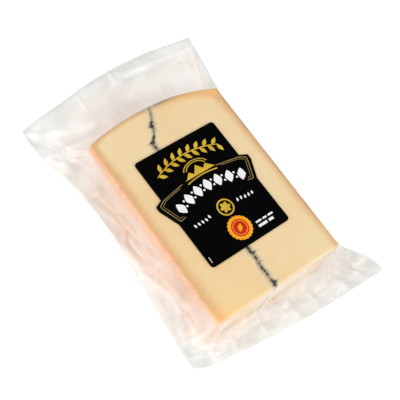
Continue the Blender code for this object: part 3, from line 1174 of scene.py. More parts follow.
CREASES = (
    # The header
    Crease(((-48.2, 119.6), (-42.5, 114.3), (-29.7, 109.6), (-19.9, 108.0)), 0.9, 2.0, 0.8),
    Crease(((-49.0, 102.1), (-36.6, 103.1), (-27.1, 99.4)), 1.2, 1.2, 0.8),
    Crease(((-41.0, 101.5), (-34.0, 100.5)), 0.3, 2.6, 0.5),
    Crease(((-48.4, 116.1), (-47.8, 110.0), (-48.5, 103.9)), -0.3, 2.2, 0.25),
    Crease(((13.6, 116.6), (26.0, 116.2), (39.4, 115.6)), 0.4, 0.6, -0.35, 0.4),
    Crease(((0.2, 126.3), (0.2, 120.1)), 0.5, 0.6, 0.8),
    Crease(((-2.4, 125.5), (-3.6, 120.5)), -0.4, 1.2, -0.5),
    Crease(((-19.4, 122.0), (-18.9, 115.6)), 0.4, 0.8, 0.5),
    Crease(((4.5, 122.6), (17.6, 121.2), (46.4, 121.1)), 0.5, 1.1, 0.2),
    Crease(((6.0, 119.4), (20.0, 118.4), (36.0, 119.2)), -0.5, 1.1, -0.55),
    Crease(((-12.0, 125.2), (8.0, 126.6), (26.0, 126.4)), -0.3, 1.6, -0.55),
    # The left side
    Crease(((-43.0, 68.0), (-40.2, 56.8)), -0.3, 1.2, -0.25),
    Crease(((-36.7, 56.1), (-38.7, 51.8), (-37.8, 43.2)), -0.5, 0.9, -0.25),
    Crease(((-41.4, 49.4), (-42.0, 43.0), (-42.5, 36.7)), 0.5, 1.6, 0.6),
    Crease(((-43.2, 35.7), (-37.8, 35.8), (-30.7, 36.3)), 0.5, 0.7, 0.5),
    Crease(((-42.3, 35.2), (-38.2, 26.1), (-37.5, 17.8), (-43.4, 7.2)), 0.7, 1.7, 0.45),
    Crease(((-41.8, 22.1), (-43.1, 12.1), (-46.6, 4.1)), -0.4, 1.6, -0.4),
    Crease(((-44.0, 3.7), (-30.1, -1.1)), 0.5, 1.4, 0.45),
    # The front
    Crease(((-26.2, 0.4), (-0.3, -1.4)), 0.25, 0.5, 0.4),
    Crease(((-26.8, -2.5), (-1.5, -4.3)), -0.3, 0.7, -0.4),
    Crease(((-43.8, -1.4), (-26.6, -7.2)), 0.4, 0.7, 0.4),
    Crease(((-46.7, -3.4), (-32.9, -8.3)), 0.3, 0.9, 0.5),
    Crease(((-4.0, -3.0), (-8.8, -3.6), (-14.1, -5.6), (-23.5, -7.0)), 0.2, 1.1, -0.2, -0.6),
    Crease(((-6.4, -7.9), (-14.0, -6.6), (-21.7, -6.3), (-26.3, -8.6)), 0.35, 1.0, 0.8),
    Crease(((-5.0, -4.2), (-10.0, -6.0)), -0.2, 1.4, -0.3),
    Crease(((9.1, -4.0), (6.2, -8.4)), 0.4, 0.9, 0.5),
    Crease(((4.0, -8.6), (9.0, -8.0), (15.0, -7.6)), 0.0, 1.2, -0.5, 0.6),
    Crease(((14.0, -6.4), (22.0, -5.2), (31.1, -5.8)), 0.3, 1.1, 0.5, -0.3),
    Crease(((28.0, -9.6), (34.0, -10.0), (41.5, -10.6)), 0.0, 1.2, -0.7, 0.5),
    Crease(((40.4, -8.6), (45.6, -3.0)), 0.3, 1.1, 0.5, -0.5),
    Crease(((44.4, -9.4), (50.0, -10.4)), 0.4, 1.1, 0.7),
    Crease(((12.0, -11.0), (26.0, -10.4)), -0.4, 1.0, -0.3),
    Crease(((-24.0, -9.8), (-9.0, -11.4), (4.0, -12.6)), -0.2, 1.2, -0.2),
    # The right side, and behind the rim
    Crease(((34.0, 30.0), (40.5, 24.0), (43.0, 12.0)), 0.5, 1.2, 0.4),
    Crease(((34.0, 62.0), (38.0, 55.0), (42.0, 52.0)), 0.5, 1.0, 0.4),
    Crease(((34.5, 78.0), (43.0, 88.0)), 0.6, 1.2, 0.4),
    Crease(((30.0, 90.0), (38.0, 104.0), (46.0, 118.0)), 0.8, 1.4, 0.4),
    Crease(((-6.0, 98.0), (-2.0, 108.0)), 0.4, 1.4, 0.2),
    Crease(((14.0, 97.0), (18.0, 109.0)), 0.4, 1.6, 0.2),
)


# How far outwards from the wall, as a share of the way to the flange's edge, the veils are given
VEIL_WAYS = (0.0, 0.05, 0.12, 0.25, 0.4, 0.6, 0.8, 1.0)


@dataclass(frozen=True)
class Veil:
    """The film's look on one side: its haze, its painted shade and highlights, and its painted warm light
    bounced from the cheese.

    Each has first the values at the wall's top and where the film leaves it, and then one for
    each of VEIL_WAYS.
    """

    haze: tuple[tuple[float, float], tuple[float, ...]]
    tone: tuple[tuple[float, float], tuple[float, ...]]
    painted_bounce_light: tuple[tuple[float, float], tuple[float, ...]]


# Those of the front, the right side, the header and the left side: in each the haze, then the painted shade
# and light, then the painted warm light bounced from the cheese
VEILS = (
    Veil(
        ((0.42, 0.58), (0.56, 0.52, 0.48, 0.47, 0.47, 0.47, 0.50, 0.50)),
        ((0.95, 0.74), (0.70, 0.63, 0.57, 0.54, 0.56, 0.45, 0.42, 0.44)),
        ((0.45, 0.52), (0.50, 0.50, 0.50, 0.52, 0.50, 0.35, 0.12, 0.00)),
    ),
    Veil(
        ((0.20, 0.30), (0.35, 0.35, 0.32, 0.30, 0.28, 0.25, 0.25, 0.25)),
        ((0.70, 0.70), (0.70, 0.70, 0.65, 0.62, 0.60, 0.60, 0.60, 0.60)),
        ((0.50, 0.40), (0.40, 0.40, 0.35, 0.30, 0.25, 0.20, 0.10, 0.00)),
    ),
    Veil(
        ((0.30, 0.50), (0.50, 0.50, 0.48, 0.46, 0.45, 0.45, 0.45, 0.45)),
        ((0.95, 0.76), (0.62, 0.58, 0.54, 0.51, 0.53, 0.52, 0.49, 0.16)),
        ((0.70, 0.80), (0.85, 0.85, 0.80, 0.78, 0.65, 0.48, 0.20, 0.00)),
    ),
    Veil(
        ((0.45, 0.82), (0.86, 0.86, 0.84, 0.80, 0.74, 0.66, 0.60, 0.52)),
        ((0.86, 0.70), (0.67, 0.66, 0.66, 0.70, 0.73, 0.73, 0.72, 0.74)),
        ((0.90, 0.84), (0.82, 0.80, 0.78, 0.72, 0.62, 0.52, 0.40, 0.30)),
    ),
)


@dataclass(frozen=True)
class Patch:
    """A part of the film that looks otherwise than the rest of its side.

    The place is in plan, and the spreads are along and across a direction, given in degrees from the X axis.
    It adds haze, painted light and shade, and painted warm light bounced from the cheese.
    """

    place: tuple[float, float]
    spread: tuple[float, float]
    turn: float
    haze: float
    tone: float
    painted_bounce_light: float

    def reach(self, plan: Array) -> Array:
        """How strongly each plan point takes part: e to the minus distance cubed, in spreads.

        Args:
            plan: across and along of the points.

        Returns:
            Values between 0 and 1.
        """
        turn = math.radians(self.turn)
        offset = plan - np.array(self.place)
        long = (offset[..., 0] * math.cos(turn) + offset[..., 1] * math.sin(turn)) / self.spread[0]
        wide = (offset[..., 1] * math.cos(turn) - offset[..., 0] * math.sin(turn)) / self.spread[1]
        return np.exp(-(np.hypot(long, wide) ** 3))


PATCHES = (
    # The rim's left corner, and the film beside and beyond it
    Patch((-38.0, 90.0), (13.0, 8.0), 80.0, 0.30, 0.14, -0.40),
    Patch((-43.0, 111.0), (13.0, 8.0), 60.0, 0.0, 0.26, -0.36),
    Patch((-42.6, 114.2), (4.5, 2.6), 40.0, 0.0, -0.34, 0.10),
    Patch((-41.0, 95.5), (6.0, 4.0), 80.0, 0.0, 0.20, -0.20),
    Patch((-38.6, 99.2), (5.0, 3.0), 20.0, -0.05, 0.55, -0.30),
    Patch((-42.6, 90.8), (5.0, 3.0), 80.0, 0.0, -0.36, 0.10),
    Patch((-29.2, 109.6), (6.0, 4.0), 10.0, 0.0, 0.30, -0.20),
    Patch((-24.0, 106.0), (14.0, 9.0), 10.0, 0.0, 0.05, -0.25),
    # The header, and the film behind the rim
    Patch((-14.0, 123.5), (10.0, 4.0), 8.0, 0.0, 0.16, -0.10),
    Patch((7.0, 119.5), (7.0, 4.0), 20.0, 0.05, -0.16, -0.40),
    Patch((17.4, 115.5), (5.0, 5.0), 0.0, 0.0, -0.14, 0.0),
    Patch((38.0, 124.0), (13.0, 4.5), -6.0, 0.0, 0.36, 0.0),
    Patch((26.0, 106.0), (20.0, 9.0), -10.0, 0.0, 0.04, -0.45),
    Patch((42.8, 96.5), (8.0, 4.0), 80.0, 0.10, -0.30, 0.05),
    # The left side, from the rim to the front
    Patch((-36.5, 83.0), (5.0, 1.8), 92.0, 0.0, -0.20, 0.10),
    Patch((-41.5, 74.0), (7.0, 3.0), 92.0, 0.1, 0.06, 0.0),
    Patch((-42.4, 67.0), (6.0, 2.4), 92.0, 0.0, -0.26, 0.12),
    Patch((-41.5, 59.0), (5.0, 2.5), 92.0, 0.1, -0.12, 0.15),
    Patch((-39.0, 56.0), (7.0, 2.4), 92.0, 0.0, 0.04, 0.26),
    Patch((-37.2, 47.0), (5.5, 2.4), 92.0, 0.0, 0.20, -0.20),
    Patch((-44.0, 44.0), (7.0, 2.4), 90.0, 0.04, -0.10, 0.0),
    Patch((-38.6, 34.0), (6.0, 2.6), 92.0, 0.0, 0.16, -0.10),
    Patch((-43.0, 26.0), (10.0, 5.0), 95.0, 0.0, 0.06, -0.20),
    Patch((-35.2, 21.0), (7.0, 1.8), 92.0, 0.0, -0.20, 0.28),
    Patch((-37.8, 14.0), (10.0, 2.6), 92.0, 0.0, 0.10, -0.40),
    Patch((-41.0, 12.0), (6.0, 2.2), 95.0, 0.0, -0.20, 0.0),
    Patch((-35.3, 3.6), (3.0, 1.6), 92.0, 0.0, -0.20, 0.30),
    # The front's left corner
    Patch((-34.2, -1.0), (1.7, 1.3), 0.0, -0.10, -0.06, 0.75),
    Patch((-38.0, -1.0), (12.0, 7.0), 20.0, 0.30, 0.08, -0.25),
    Patch((-33.0, -8.6), (7.0, 3.2), -16.0, 0.05, -0.10, -0.05),
    # The front, from left to right
    Patch((-11.0, -8.6), (9.0, 2.6), -8.0, 0.0, -0.34, 0.0),
    Patch((-7.0, -1.3), (7.0, 1.6), 0.0, 0.0, 0.20, -0.12),
    Patch((0.5, -5.4), (4.0, 2.2), 0.0, 0.0, -0.30, 0.0),
    Patch((4.0, -1.0), (12.0, 1.6), 0.0, 0.10, 0.08, -0.30),
    Patch((8.7, -13.0), (7.0, 2.5), -4.0, 0.0, 0.14, 0.0),
    Patch((12.0, -7.5), (15.0, 3.6), 0.0, 0.0, -0.18, -0.10),
    Patch((21.5, -7.0), (5.0, 2.5), 0.0, 0.0, -0.12, 0.0),
    Patch((34.0, -6.0), (16.0, 6.0), -6.0, 0.0, -0.20, -0.05),
    Patch((34.8, -1.8), (4.0, 2.6), 0.0, 0.0, -0.18, 0.40),
    Patch((39.5, -9.8), (4.0, 2.2), 0.0, 0.0, -0.20, 0.0),
    Patch((43.5, -7.6), (5.0, 3.0), 0.0, 0.0, -0.22, 0.0),
    Patch((48.0, -3.5), (6.0, 3.0), -52.0, 0.12, -0.24, -0.20),
    Patch((50.0, -13.2), (6.0, 2.4), -8.0, 0.1, -0.22, 0.0),
    Patch((50.6, -8.6), (3.0, 2.4), 0.0, 0.0, 0.22, 0.0),
    Patch((54.0, -16.8), (3.5, 2.4), -20.0, 0.05, -0.20, 0.0),
)


@dataclass(frozen=True)
class Pouch:
    """The film: over the portion, down its walls, out to the flange, and back below.

    The flange's edges are given as across, along and height, counterclockwise from the left front
    corner: the front seal, the right side, the header and the left side.
    """

    portion: Portion
    film: float = 0.15
    gap: float = 0.16
    level: float = 15.8
    base: float = 0.02
    end_bridge: float = 0.55
    side_bridge: float = 0.34
    end_drop: float = 3.2
    side_drop: float = 9.0
    edges: tuple[Rows, ...] = (
        (
            (-46.4, -7.4, 10.8), (-40.5, -10.4, 11.3), (-33.7, -11.5, 11.8), (-25.5, -12.9, 12.8),
            (-17.6, -14.1, 13.8), (7.8, -16.9, 14.8), (29.1, -18.0, 14.8), (55.9, -18.8, 13.8),
        ),
        (
            (55.9, -18.8, 13.8), (53.2, -9.6, 14.8), (44.7, 1.3, 15.8), (43.0, 20.0, 15.8),
            (42.4, 48.0, 15.8), (43.2, 80.0, 15.8), (44.4, 95.4, 15.8), (47.4, 110.0, 15.8),
            (49.8, 126.8, 15.8),
        ),
        (
            (49.8, 126.8, 15.8), (19.9, 126.3, 21.6), (-2.1, 126.3, 20.8), (-27.5, 123.5, 17.8),
            (-48.5, 121.3, 12.8),
        ),
        (
            (-48.5, 121.3, 12.8), (-49.6, 102.0, 17.8), (-46.3, 91.5, 16.8), (-43.8, 79.0, 15.8),
            (-43.0, 54.1, 15.8), (-45.7, 31.8, 15.8), (-47.1, 4.5, 13.8), (-46.4, -7.4, 10.8),
        ),
    )
    # Long folds of each side: how many along it, their height, and where they peak
    folds: tuple[Rows, ...] = (
        ((6.5, 1.3, 0.4), (11.0, 0.6, 1.9)),
        ((3.0, 0.7, 0.3), (5.0, 0.5, 1.1)),
        ((7.0, 0.2, 0.9), (3.0, 0.9, 2.2)),
        ((3.0, 0.7, 0.3), (5.0, 0.5, 1.1)),
    )
    # The fold at the left side's back: its place and spread along the side, and its height
    dog_ear: tuple[float, float, float] = (0.14, 0.035, 2.7)
    # How far the slow folds, the small ones and the corners' gathers lift the film, and how much painted
    # highlight and shade they give it
    fold_heights: tuple[float, float, float] = (0.55, 0.12, 0.7)
    fold_painted_shading: tuple[float, float, float] = (0.30, 0.16, 0.3)
    middle: float = 48.0
    face_inset: float = 33.0
    corner_share: float = 0.16
    pleats: int = 46
    pleat_depth: float = 0.40
    sheets_apart: float = 0.256
    stations: tuple[int, int, int, int] = (190, 120, 170, 180)
    cap_rings: int = 9
    edge_rings: int = 7
    wall_rings: int = 6
    tent_rings: int = 22
    flange_rings: int = 24

    @cached_property
    def side(self) -> Array:
        """The side's number, for every station round the outline."""
        return np.repeat(np.arange(len(self.stations)), self.stations)

    @cached_property
    def share(self) -> Array:
        """How far along its side each station is."""
        return np.concatenate([np.arange(count) / count for count in self.stations])

    @cached_property
    def to_corner(self) -> Array:
        """A soft step at every station, from 0 at a corner to 1 on the side."""
        return smoothstep(0.0, self.corner_share, np.minimum(self.share, 1 - self.share))

    @cached_property
    def end_weight(self) -> Array:
        """1 along the front and the header, 0 along the sides, with a soft change at corners."""
        return 0.5 + np.where(self.side % 2 == 0, 0.5, -0.5) * self.to_corner

    @cached_property
    def around(self) -> Array:
        """How far round the outline each station is, in pleats."""
        return (self.side + self.share) / len(self.stations) * self.pleats

    @cached_property
    def bridge(self) -> Array:
        """How far out the film meets the flange, as a share of its way, at every station."""
        return self.side_bridge + (self.end_bridge - self.side_bridge) * self.end_weight

    def blend(self, front: Value, right: Value, header: Value, left: Value) -> Array:
        """A value at every station: that of its side, and near a corner that of the pouch's end.

        Formula: on the right and the left side a soft step leads at each corner from the value
        of the front or the header to the side's own.

        Args:
            front: the value along the front.
            right: the value along the right side.
            header: the value along the header.
            left: the value along the left side.

        Returns:
            One value for each station.
        """
        side, share = self.side, self.share
        on_side = np.where(side == Side.RIGHT, right, left)
        first = np.where(side == Side.RIGHT, front, header)
        last = np.where(side == Side.RIGHT, header, front)
        before = 1 - smoothstep(0.02, 0.3, share)
        after = 1 - smoothstep(0.02, 0.34, 1 - share)
        value = on_side + before * (first - on_side) + after * (last - on_side)
        return np.where(side == Side.FRONT, front, np.where(side == Side.RIM, header, value))

    def fold_lift(self, way: Array) -> Array:
        """How far the long folds lift the flange.

        Formula: each side's waves along it, times a swell that rises and falls from the wall to
        the edge, faded out at the corners, plus the bell of the dog-ear on the left side.

        Args:
            way: 0 at the wall and 1 at the edge, by ring and station.

        Returns:
            Heights, by ring and station.
        """
        share = self.share
        waves = np.zeros(len(share))
        for number, folds in enumerate(self.folds):
            for count, height, phase in folds:
                wave = height * np.sin(FULL_TURN * count * share + phase)
                waves = waves + np.where(self.side == number, wave, 0.0)
        fade = smoothstep(0.0, 0.12, np.minimum(share, 1 - share))
        swell = np.sin(math.pi * np.minimum(1.0, way * 1.15) ** 0.8) + 0.35 * way
        place, spread, height = self.dog_ear
        ear = np.where(self.side == Side.LEFT, bell(share, place, spread), 0.0)
        return waves * fade * swell + height * ear * np.sin(math.pi * way)

    def crinkle(self, plan: Array, loose: Array) -> tuple[Array, Array]:
        """The smaller folds, which both sheets share.

        Formula: the sum of the creases, plus noise that is long along the header, slanted across
        the front and along the sides, each by its weight, plus gathers that fan out from the
        portion's corners.

        Args:
            plan: across and along of the points, by ring and station.
            loose: 0 where the film lies on the cheese and 1 where it is free.

        Returns:
            Heights, and the painted highlights and shade of the folds, by ring and station.
        """
        across, along = plan[..., 0], plan[..., 1]
        ends = self.end_weight
        header = Noise(21).at(across / 26 + along / 30, along / 5.5 - across / 60)
        front = Noise(23).at((across + 1.1 * along) / 9, (along - 0.6 * across) / 30)
        flanks = Noise(25).at((along + 0.9 * across) / 11, (across - 0.4 * along) / 26)
        slow = ends * np.where(along > self.middle, header, front) + (1 - ends) * flanks
        small = Noise(28).at(across / 3.4, along / 3.4) * (0.5 + Noise(29).at(across / 14, along / 14))
        rows = np.arange(len(plan))[:, None]
        gathers = Noise(27).at(self.around * 1.5, rows / 40.0, wrap=int(self.pleats * 1.5))
        calm = self.blend(1.0, 1.0, 0.5, 1.0)
        waves = (calm * slow, calm * small, gathers * (1 - self.to_corner))
        height = sum(weight * wave for weight, wave in zip(self.fold_heights, waves))
        tone = sum(weight * wave for weight, wave in zip(self.fold_painted_shading, waves))
        # Each crease paints highlight or shade along its ridge, and a painted step of light beside it.
        for crease in CREASES:
            ridge, step = crease.reach(plan)
            height = height + crease.height * ridge
            tone = tone + 0.5 * (crease.tone * ridge + crease.step * step)
        return loose * height, loose * tone

    def flange(self, way: Array) -> Array:
        """Points of the flange's middle, between its two sheets.

        Formula: the plan runs straight from the wall to the edge, which is a smooth curve through
        the points of each side. The height goes from the flange's level to the edge's with the
        power 1.5 of the way, plus the folds.

        Args:
            way: 0 at the wall and 1 at the edge, by ring and station.

        Returns:
            Points, by ring and station.
        """
        side, share = self.side, self.share
        wall = self.portion.outline(side, share, self.portion.corner_radius + self.film)
        edge = np.vstack([spline(line, share[side == number]) for number, line in enumerate(self.edges)])
        plan = wall * (1 - way[..., None]) + edge[:, :2] * way[..., None]
        height = self.level + (edge[:, 2] - self.level) * way**1.5 + self.fold_lift(way)
        return np.concatenate([plan, height[..., None]], axis=-1)

    def rounded(self, start: float, sign: int) -> Array:
        """Rings over the portion's rounded edge, from its face to its wall.

        Formula: a quarter of a circle, as far out and down from its start as the film's radius.

        Args:
            start: the face's height.
            sign: 1 for the upper face and -1 for the lower one.

        Returns:
            Points, by ring and station.
        """
        form = self.portion
        radius = form.edge_radius + self.film
        bend = np.linspace(0, math.pi / 2, self.edge_rings)
        reach = (form.corner_radius - form.edge_radius + radius * np.sin(bend))[:, None]
        plan = np.stack([form.outline(self.side, self.share, row) for row in reach])
        height = (start - sign * radius * (1 - np.cos(bend)))[:, None, None]
        return np.concatenate([plan, np.broadcast_to(height, (*plan.shape[:2], 1))], -1)

    def bridged(self, leave: Array, sheet: Array) -> Array:
        """Rings where the film leaves the wall and bridges to the flange.

        Formula: the quadratic curve from the place where it leaves, towards a knee on the flange
        near the wall, to the root of the flange.

        Args:
            leave: the points where the film leaves the wall.
            sheet: where the sheet lies from the flange's middle.

        Returns:
            Points, by ring and station, without the root itself.
        """
        bridge = self.bridge[None]
        knee = self.flange(bridge * 0.35)[0] + sheet
        root = self.flange(bridge)[0] + sheet
        t = evenly(self.tent_rings)[:, None, None]
        return (1 - t) ** 2 * leave + 2 * t * (1 - t) * knee + t**2 * root

    def sheet(self, sign: int, face: float, wall_start: float) -> Array:
        """One of the film's two sheets.

        Formula: rings grow from a line in the middle of the face to its edge, run round the edge
        and straight down the wall, bridge to the flange and go on to the flange's edge.

        Args:
            sign: 1 for the upper sheet and -1 for the lower one.
            face: the height of its face.
            wall_start: the height from which the film's way down the wall is measured.

        Returns:
            Points, by ring and station.
        """
        drop = self.side_drop + (self.end_drop - self.side_drop) * self.end_weight
        bridge = self.bridge
        sheet = np.array([0.0, 0.0, sign * self.gap])
        edge = self.rounded(face, sign)
        foot_along = np.clip(edge[0, :, 1], self.face_inset, self.portion.rim_reach - self.face_inset)
        foot = np.column_stack([0 * foot_along, foot_along, edge[0, :, 2]])
        t = (np.linspace(0.05, 1.0, self.cap_rings) ** 0.8)[:-1, None, None]
        cap = foot * (1 - t) + edge[0] * t
        leave = edge[-1].copy()
        leave[:, 2] = wall_start - sign * drop
        down = np.linspace(0, 1, self.wall_rings + 1)[1:-1, None, None]
        wall = edge[-1] * (1 - down) + leave * down
        way = bridge + (1 - bridge) * np.linspace(0, 1, self.flange_rings)[:, None]
        return np.concatenate([cap, edge, wall, self.bridged(leave, sheet), self.flange(way) + sheet])

    def veils(self) -> dict[str, Array]:
        """What the rings carry, by ring and station.

        Formula: each side's veil is read off at the rings' ways outwards and blended at the
        corners. The seal is a little darker from about three quarters of the way.

        Returns:
            The haze, the painted shading, the painted warm bounce light, and the weights of the smaller
            folds, of their facets, of the patches and of the pleats.
        """
        share, bridge, blend = self.share, self.bridge, self.blend
        edge = np.linspace(0, 1, self.edge_rings)[:, None]
        wall = np.linspace(0, 1, self.wall_rings - 1)[:, None]
        tent = evenly(self.tent_rings)[:, None]
        tent_way = bridge * (0.7 * tent * (1 - tent) + tent**2)
        flange_way = bridge + (1 - bridge) * np.linspace(0, 1, self.flange_rings)[:, None]
        counts = (self.cap_rings - 1, len(edge), len(wall), len(tent), len(flange_way))

        def spread(*zones: Value) -> list[Array]:
            """The values of the face, edge, wall, tent and flange at all their points."""
            return [np.broadcast_to(zone, (count, len(share))) for zone, count in zip(zones, counts)]

        made = {}
        for name, on_face in {"haze": 0.015, "tone": 0.95, "painted_bounce_light": 0.3}.items():
            pairs = [getattr(veil, name) for veil in VEILS]
            top = blend(*(pair[0][0] for pair in pairs))
            foot = blend(*(pair[0][1] for pair in pairs))
            made[name] = spread(
                on_face,
                on_face + edge**1.5 * (top - on_face),
                top + wall * (foot - top),
                blend(*(np.interp(tent_way, VEIL_WAYS, pair[1]) for pair in pairs)),
                blend(*(np.interp(flange_way, VEIL_WAYS, pair[1]) for pair in pairs)),
            )
        seal = smoothstep(0.74, 0.78, flange_way + 0.03 * np.sin(share * 34)) * self.end_weight
        made["tone"][-1] = made["tone"][-1] - seal * blend(0.08, 0.05, 0.1, 0.0)
        made["loose"] = spread(0.0, 0.0, 0.0, smoothstep(0.0, 0.4, tent), 1.0)
        made["crisp"] = [zone * blend(0.8, 0.6, 0.0, 0.15) for zone in made["loose"]]
        made["patch"] = spread(0.0, 0.0, wall**0.6, 1.0, 1.0)
        swell = 0.15 - 0.11 * tent + np.sin(math.pi * tent)
        made["pleat"] = spread(0.0, 0.0, 0.15, swell, 0.08 * (1 - flange_way))
        below = {name: list(zones) for name, zones in made.items()}
        below["haze"][3] = below["haze"][3] * blend(0.9, 0.5, 0.9, 0.35)
        return {
            name: np.concatenate([*zones, np.concatenate(below[name])[::-1]])
            for name, zones in made.items()
        }

    def normals(self, points: Array) -> Array:
        """The directions out of the film.

        Formula: the cross product of the steps between stations and between rings, over its
        length, turned away from the pouch's middle.

        Args:
            points: the film's points, by ring and station.

        Returns:
            One direction for each point.
        """
        along_ring = np.roll(points, -1, axis=1) - np.roll(points, 1, axis=1)
        normal = np.cross(along_ring, np.gradient(points, axis=0))
        normal /= np.maximum(np.linalg.norm(normal, axis=2, keepdims=True), 1e-9)
        outward = points[..., :2] - np.array([0.0, self.middle])
        return normal * np.sign((normal[..., :2] * outward).sum(-1).mean())

    def parted(self, points: Array) -> Array:
        """The film with its sheets apart: where they are too close, each gives way by half.

        Args:
            points: the film's points, by ring and station, which are changed.

        Returns:
            The same points, none of them below the floor's gap.
        """
        half = len(points) // 2
        above, below = points[:half, :, 2], points[: half - 1 : -1, :, 2]
        missing = np.maximum(0.0, self.sheets_apart - (above - below)) / 2
        above += missing
        below -= missing
        points[..., 2] = np.maximum(points[..., 2], self.base)
        return points

    def surface(self) -> Surface:
        """The closed film, with its haze, painted shading and painted warm bounce light.

        Formula: the rings of both sheets, lifted by the smaller folds and moved along their normals by
        pleats, which are noise along the outline and over the rings. The looks are those of the veils,
        changed by the folds, plus the patches: painted shade and highlights where folds and pleats rise and
        sink, and painted warm light near the cheese.

        Returns:
            The surface.
        """
        upper = self.sheet(1, self.portion.high + self.film, self.portion.high)
        lower = self.sheet(-1, self.base, self.portion.solid_low)
        points = np.concatenate([upper, lower[::-1]])
        veils = self.veils()
        lift, tone = self.crinkle(points[..., :2], veils["loose"])
        points[..., 2] += lift
        rows = np.arange(len(points))[:, None]
        course = self.around
        fold = Noise(31).at(course + rows * 0.03, rows / 11.0, wrap=self.pleats)
        fold = fold + 0.5 * Noise(32).at(course * 2, rows / 7.0, wrap=self.pleats * 2)
        sunk = veils["pleat"] * self.pleat_depth * np.maximum(fold + 0.2, -0.5)
        points = self.parted(points + self.normals(points) * sunk[..., None])
        haze = veils["haze"] * (1 + 0.3 * tone)
        # Painted shading: each side's, plus painted highlight and shade from the folds and from the rising
        # and sinking pleats.
        light = veils["tone"] + 0.7 * tone + 0.16 * veils["pleat"] * fold
        painted_bounce_light = veils["painted_bounce_light"]
        # The patches add haze, painted light and shade, and painted warm bounce light.
        for patch in PATCHES:
            weight = veils["patch"] * patch.reach(points[..., :2])
            haze = haze + patch.haze * weight
            light = light + patch.tone * weight
            painted_bounce_light = painted_bounce_light + patch.painted_bounce_light * weight
        surface = loft(points, turned=len(points) // 2)
        surface.values = {
            "haze": np.clip(haze, 0.01, 0.95),
            "tone": light,
            "painted_bounce_light": np.clip(painted_bounce_light, 0.0, 1.0),
            "crisp": veils["crisp"],
        }
        return surface


# The label

# How high most of the print stands on the label
INK = 0.05


@dataclass
class Stamp:
    """Thin printed shapes on the label, gathered into one surface.

    Plans are millimetres from the label's middle, turned with the label.
    """

    centre: tuple[float, float]
    turn: float
    low: float
    parts: list[Surface] = field(default_factory=list)

    def lay(self, plan: Array, height: float) -> Array:
        """Points of the portion from points of the print.

        Args:
            plan: points of the print.
            height: their height in the portion's frame.

        Returns:
            The plan turned and moved with the label, at that height.
        """
        cosine, sine = math.cos(self.turn), math.sin(self.turn)
        across = self.centre[0] + cosine * plan[..., 0] - sine * plan[..., 1]
        along = self.centre[1] + sine * plan[..., 0] + cosine * plan[..., 1]
        return np.stack([across, along, np.full(across.shape, height)], -1)

    def band(self, first: Array, second: Array, high: float = INK, closed: bool = False) -> None:
        """A raised band between two lines with the same number of points.

        Formula: at each pair of points a rectangle stands across the band, and the rectangles are
        joined along it.

        Args:
            first: the line on one side.
            second: the line on the other side.
            high: how high the band stands on the label.
            closed: whether the band runs back into its start.
        """
        corners = [(first, high), (second, high), (second, 0.0), (first, 0.0)]
        rings = np.stack([self.lay(line, self.low + height) for line, height in corners], axis=1)
        if closed:
            rings = np.concatenate([rings, rings[:1]])
        self.parts.append(loft(rings, close_ends=not closed))

    def stroke(self, path: Array, half_width: Value, high: float = INK, closed: bool = False) -> None:
        """A line of ink along a path: the band between the path moved to its left and right.

        Args:
            path: its middle.
            half_width: half of its width, for the whole path or for each point.
            high: how high it stands on the label.
            closed: whether it runs back into its start.
        """
        if closed:
            step = np.roll(path, -1, axis=0) - np.roll(path, 1, axis=0)
        else:
            step = np.gradient(path, axis=0)
        step /= np.linalg.norm(step, axis=1, keepdims=True)
        out = np.column_stack([-step[:, 1], step[:, 0]]) * np.reshape(half_width, (-1, 1))
        self.band(path + out, path - out, high, closed)

    def spot(self, middle: Array, radius: Array, high: float = INK, turn: float = 0.0) -> None:
        """A closed spot of ink.

        Args:
            middle: its middle.
            radius: its radius in each of evenly spaced directions.
            high: how high it stands on the label.
            turn: the angle that it is turned by.
        """
        cosine, sine = math.cos(turn), math.sin(turn)
        turned = np.array([[cosine, sine], [-sine, cosine]])
        plan = (circle(len(radius)) * radius[:, None]) @ turned + middle
        self.parts.append(loft(np.stack([self.lay(plan, self.low + high), self.lay(plan, self.low)])))


@dataclass(frozen=True)
class Arch:
    """A low arch on the label that print follows: its half width, its foot and its rise."""

    reach: float
    foot: float
    rise: float

    def at(self, share: Value) -> Array:
        """Points by the share across, from -1 to 1: the foot plus the rise times 1 - share²."""
        return np.stack([self.reach * share, self.foot + self.rise * (1 - share**2)], -1)

    def lean(self, share: float) -> float:
        """The angle of the arch's slope."""
        return math.atan(-2 * self.rise * share / self.reach)


def lens(long: float, wide: float, count: int = 24, power: float = 1.25) -> Array:
    """Radii of a pointed leaf from its half length and width: an ellipse's, with a lower power."""
    cosine, sine = np.abs(circle(count)).T
    return ((cosine / long) ** power + (sine / wide) ** power) ** (-1 / power)


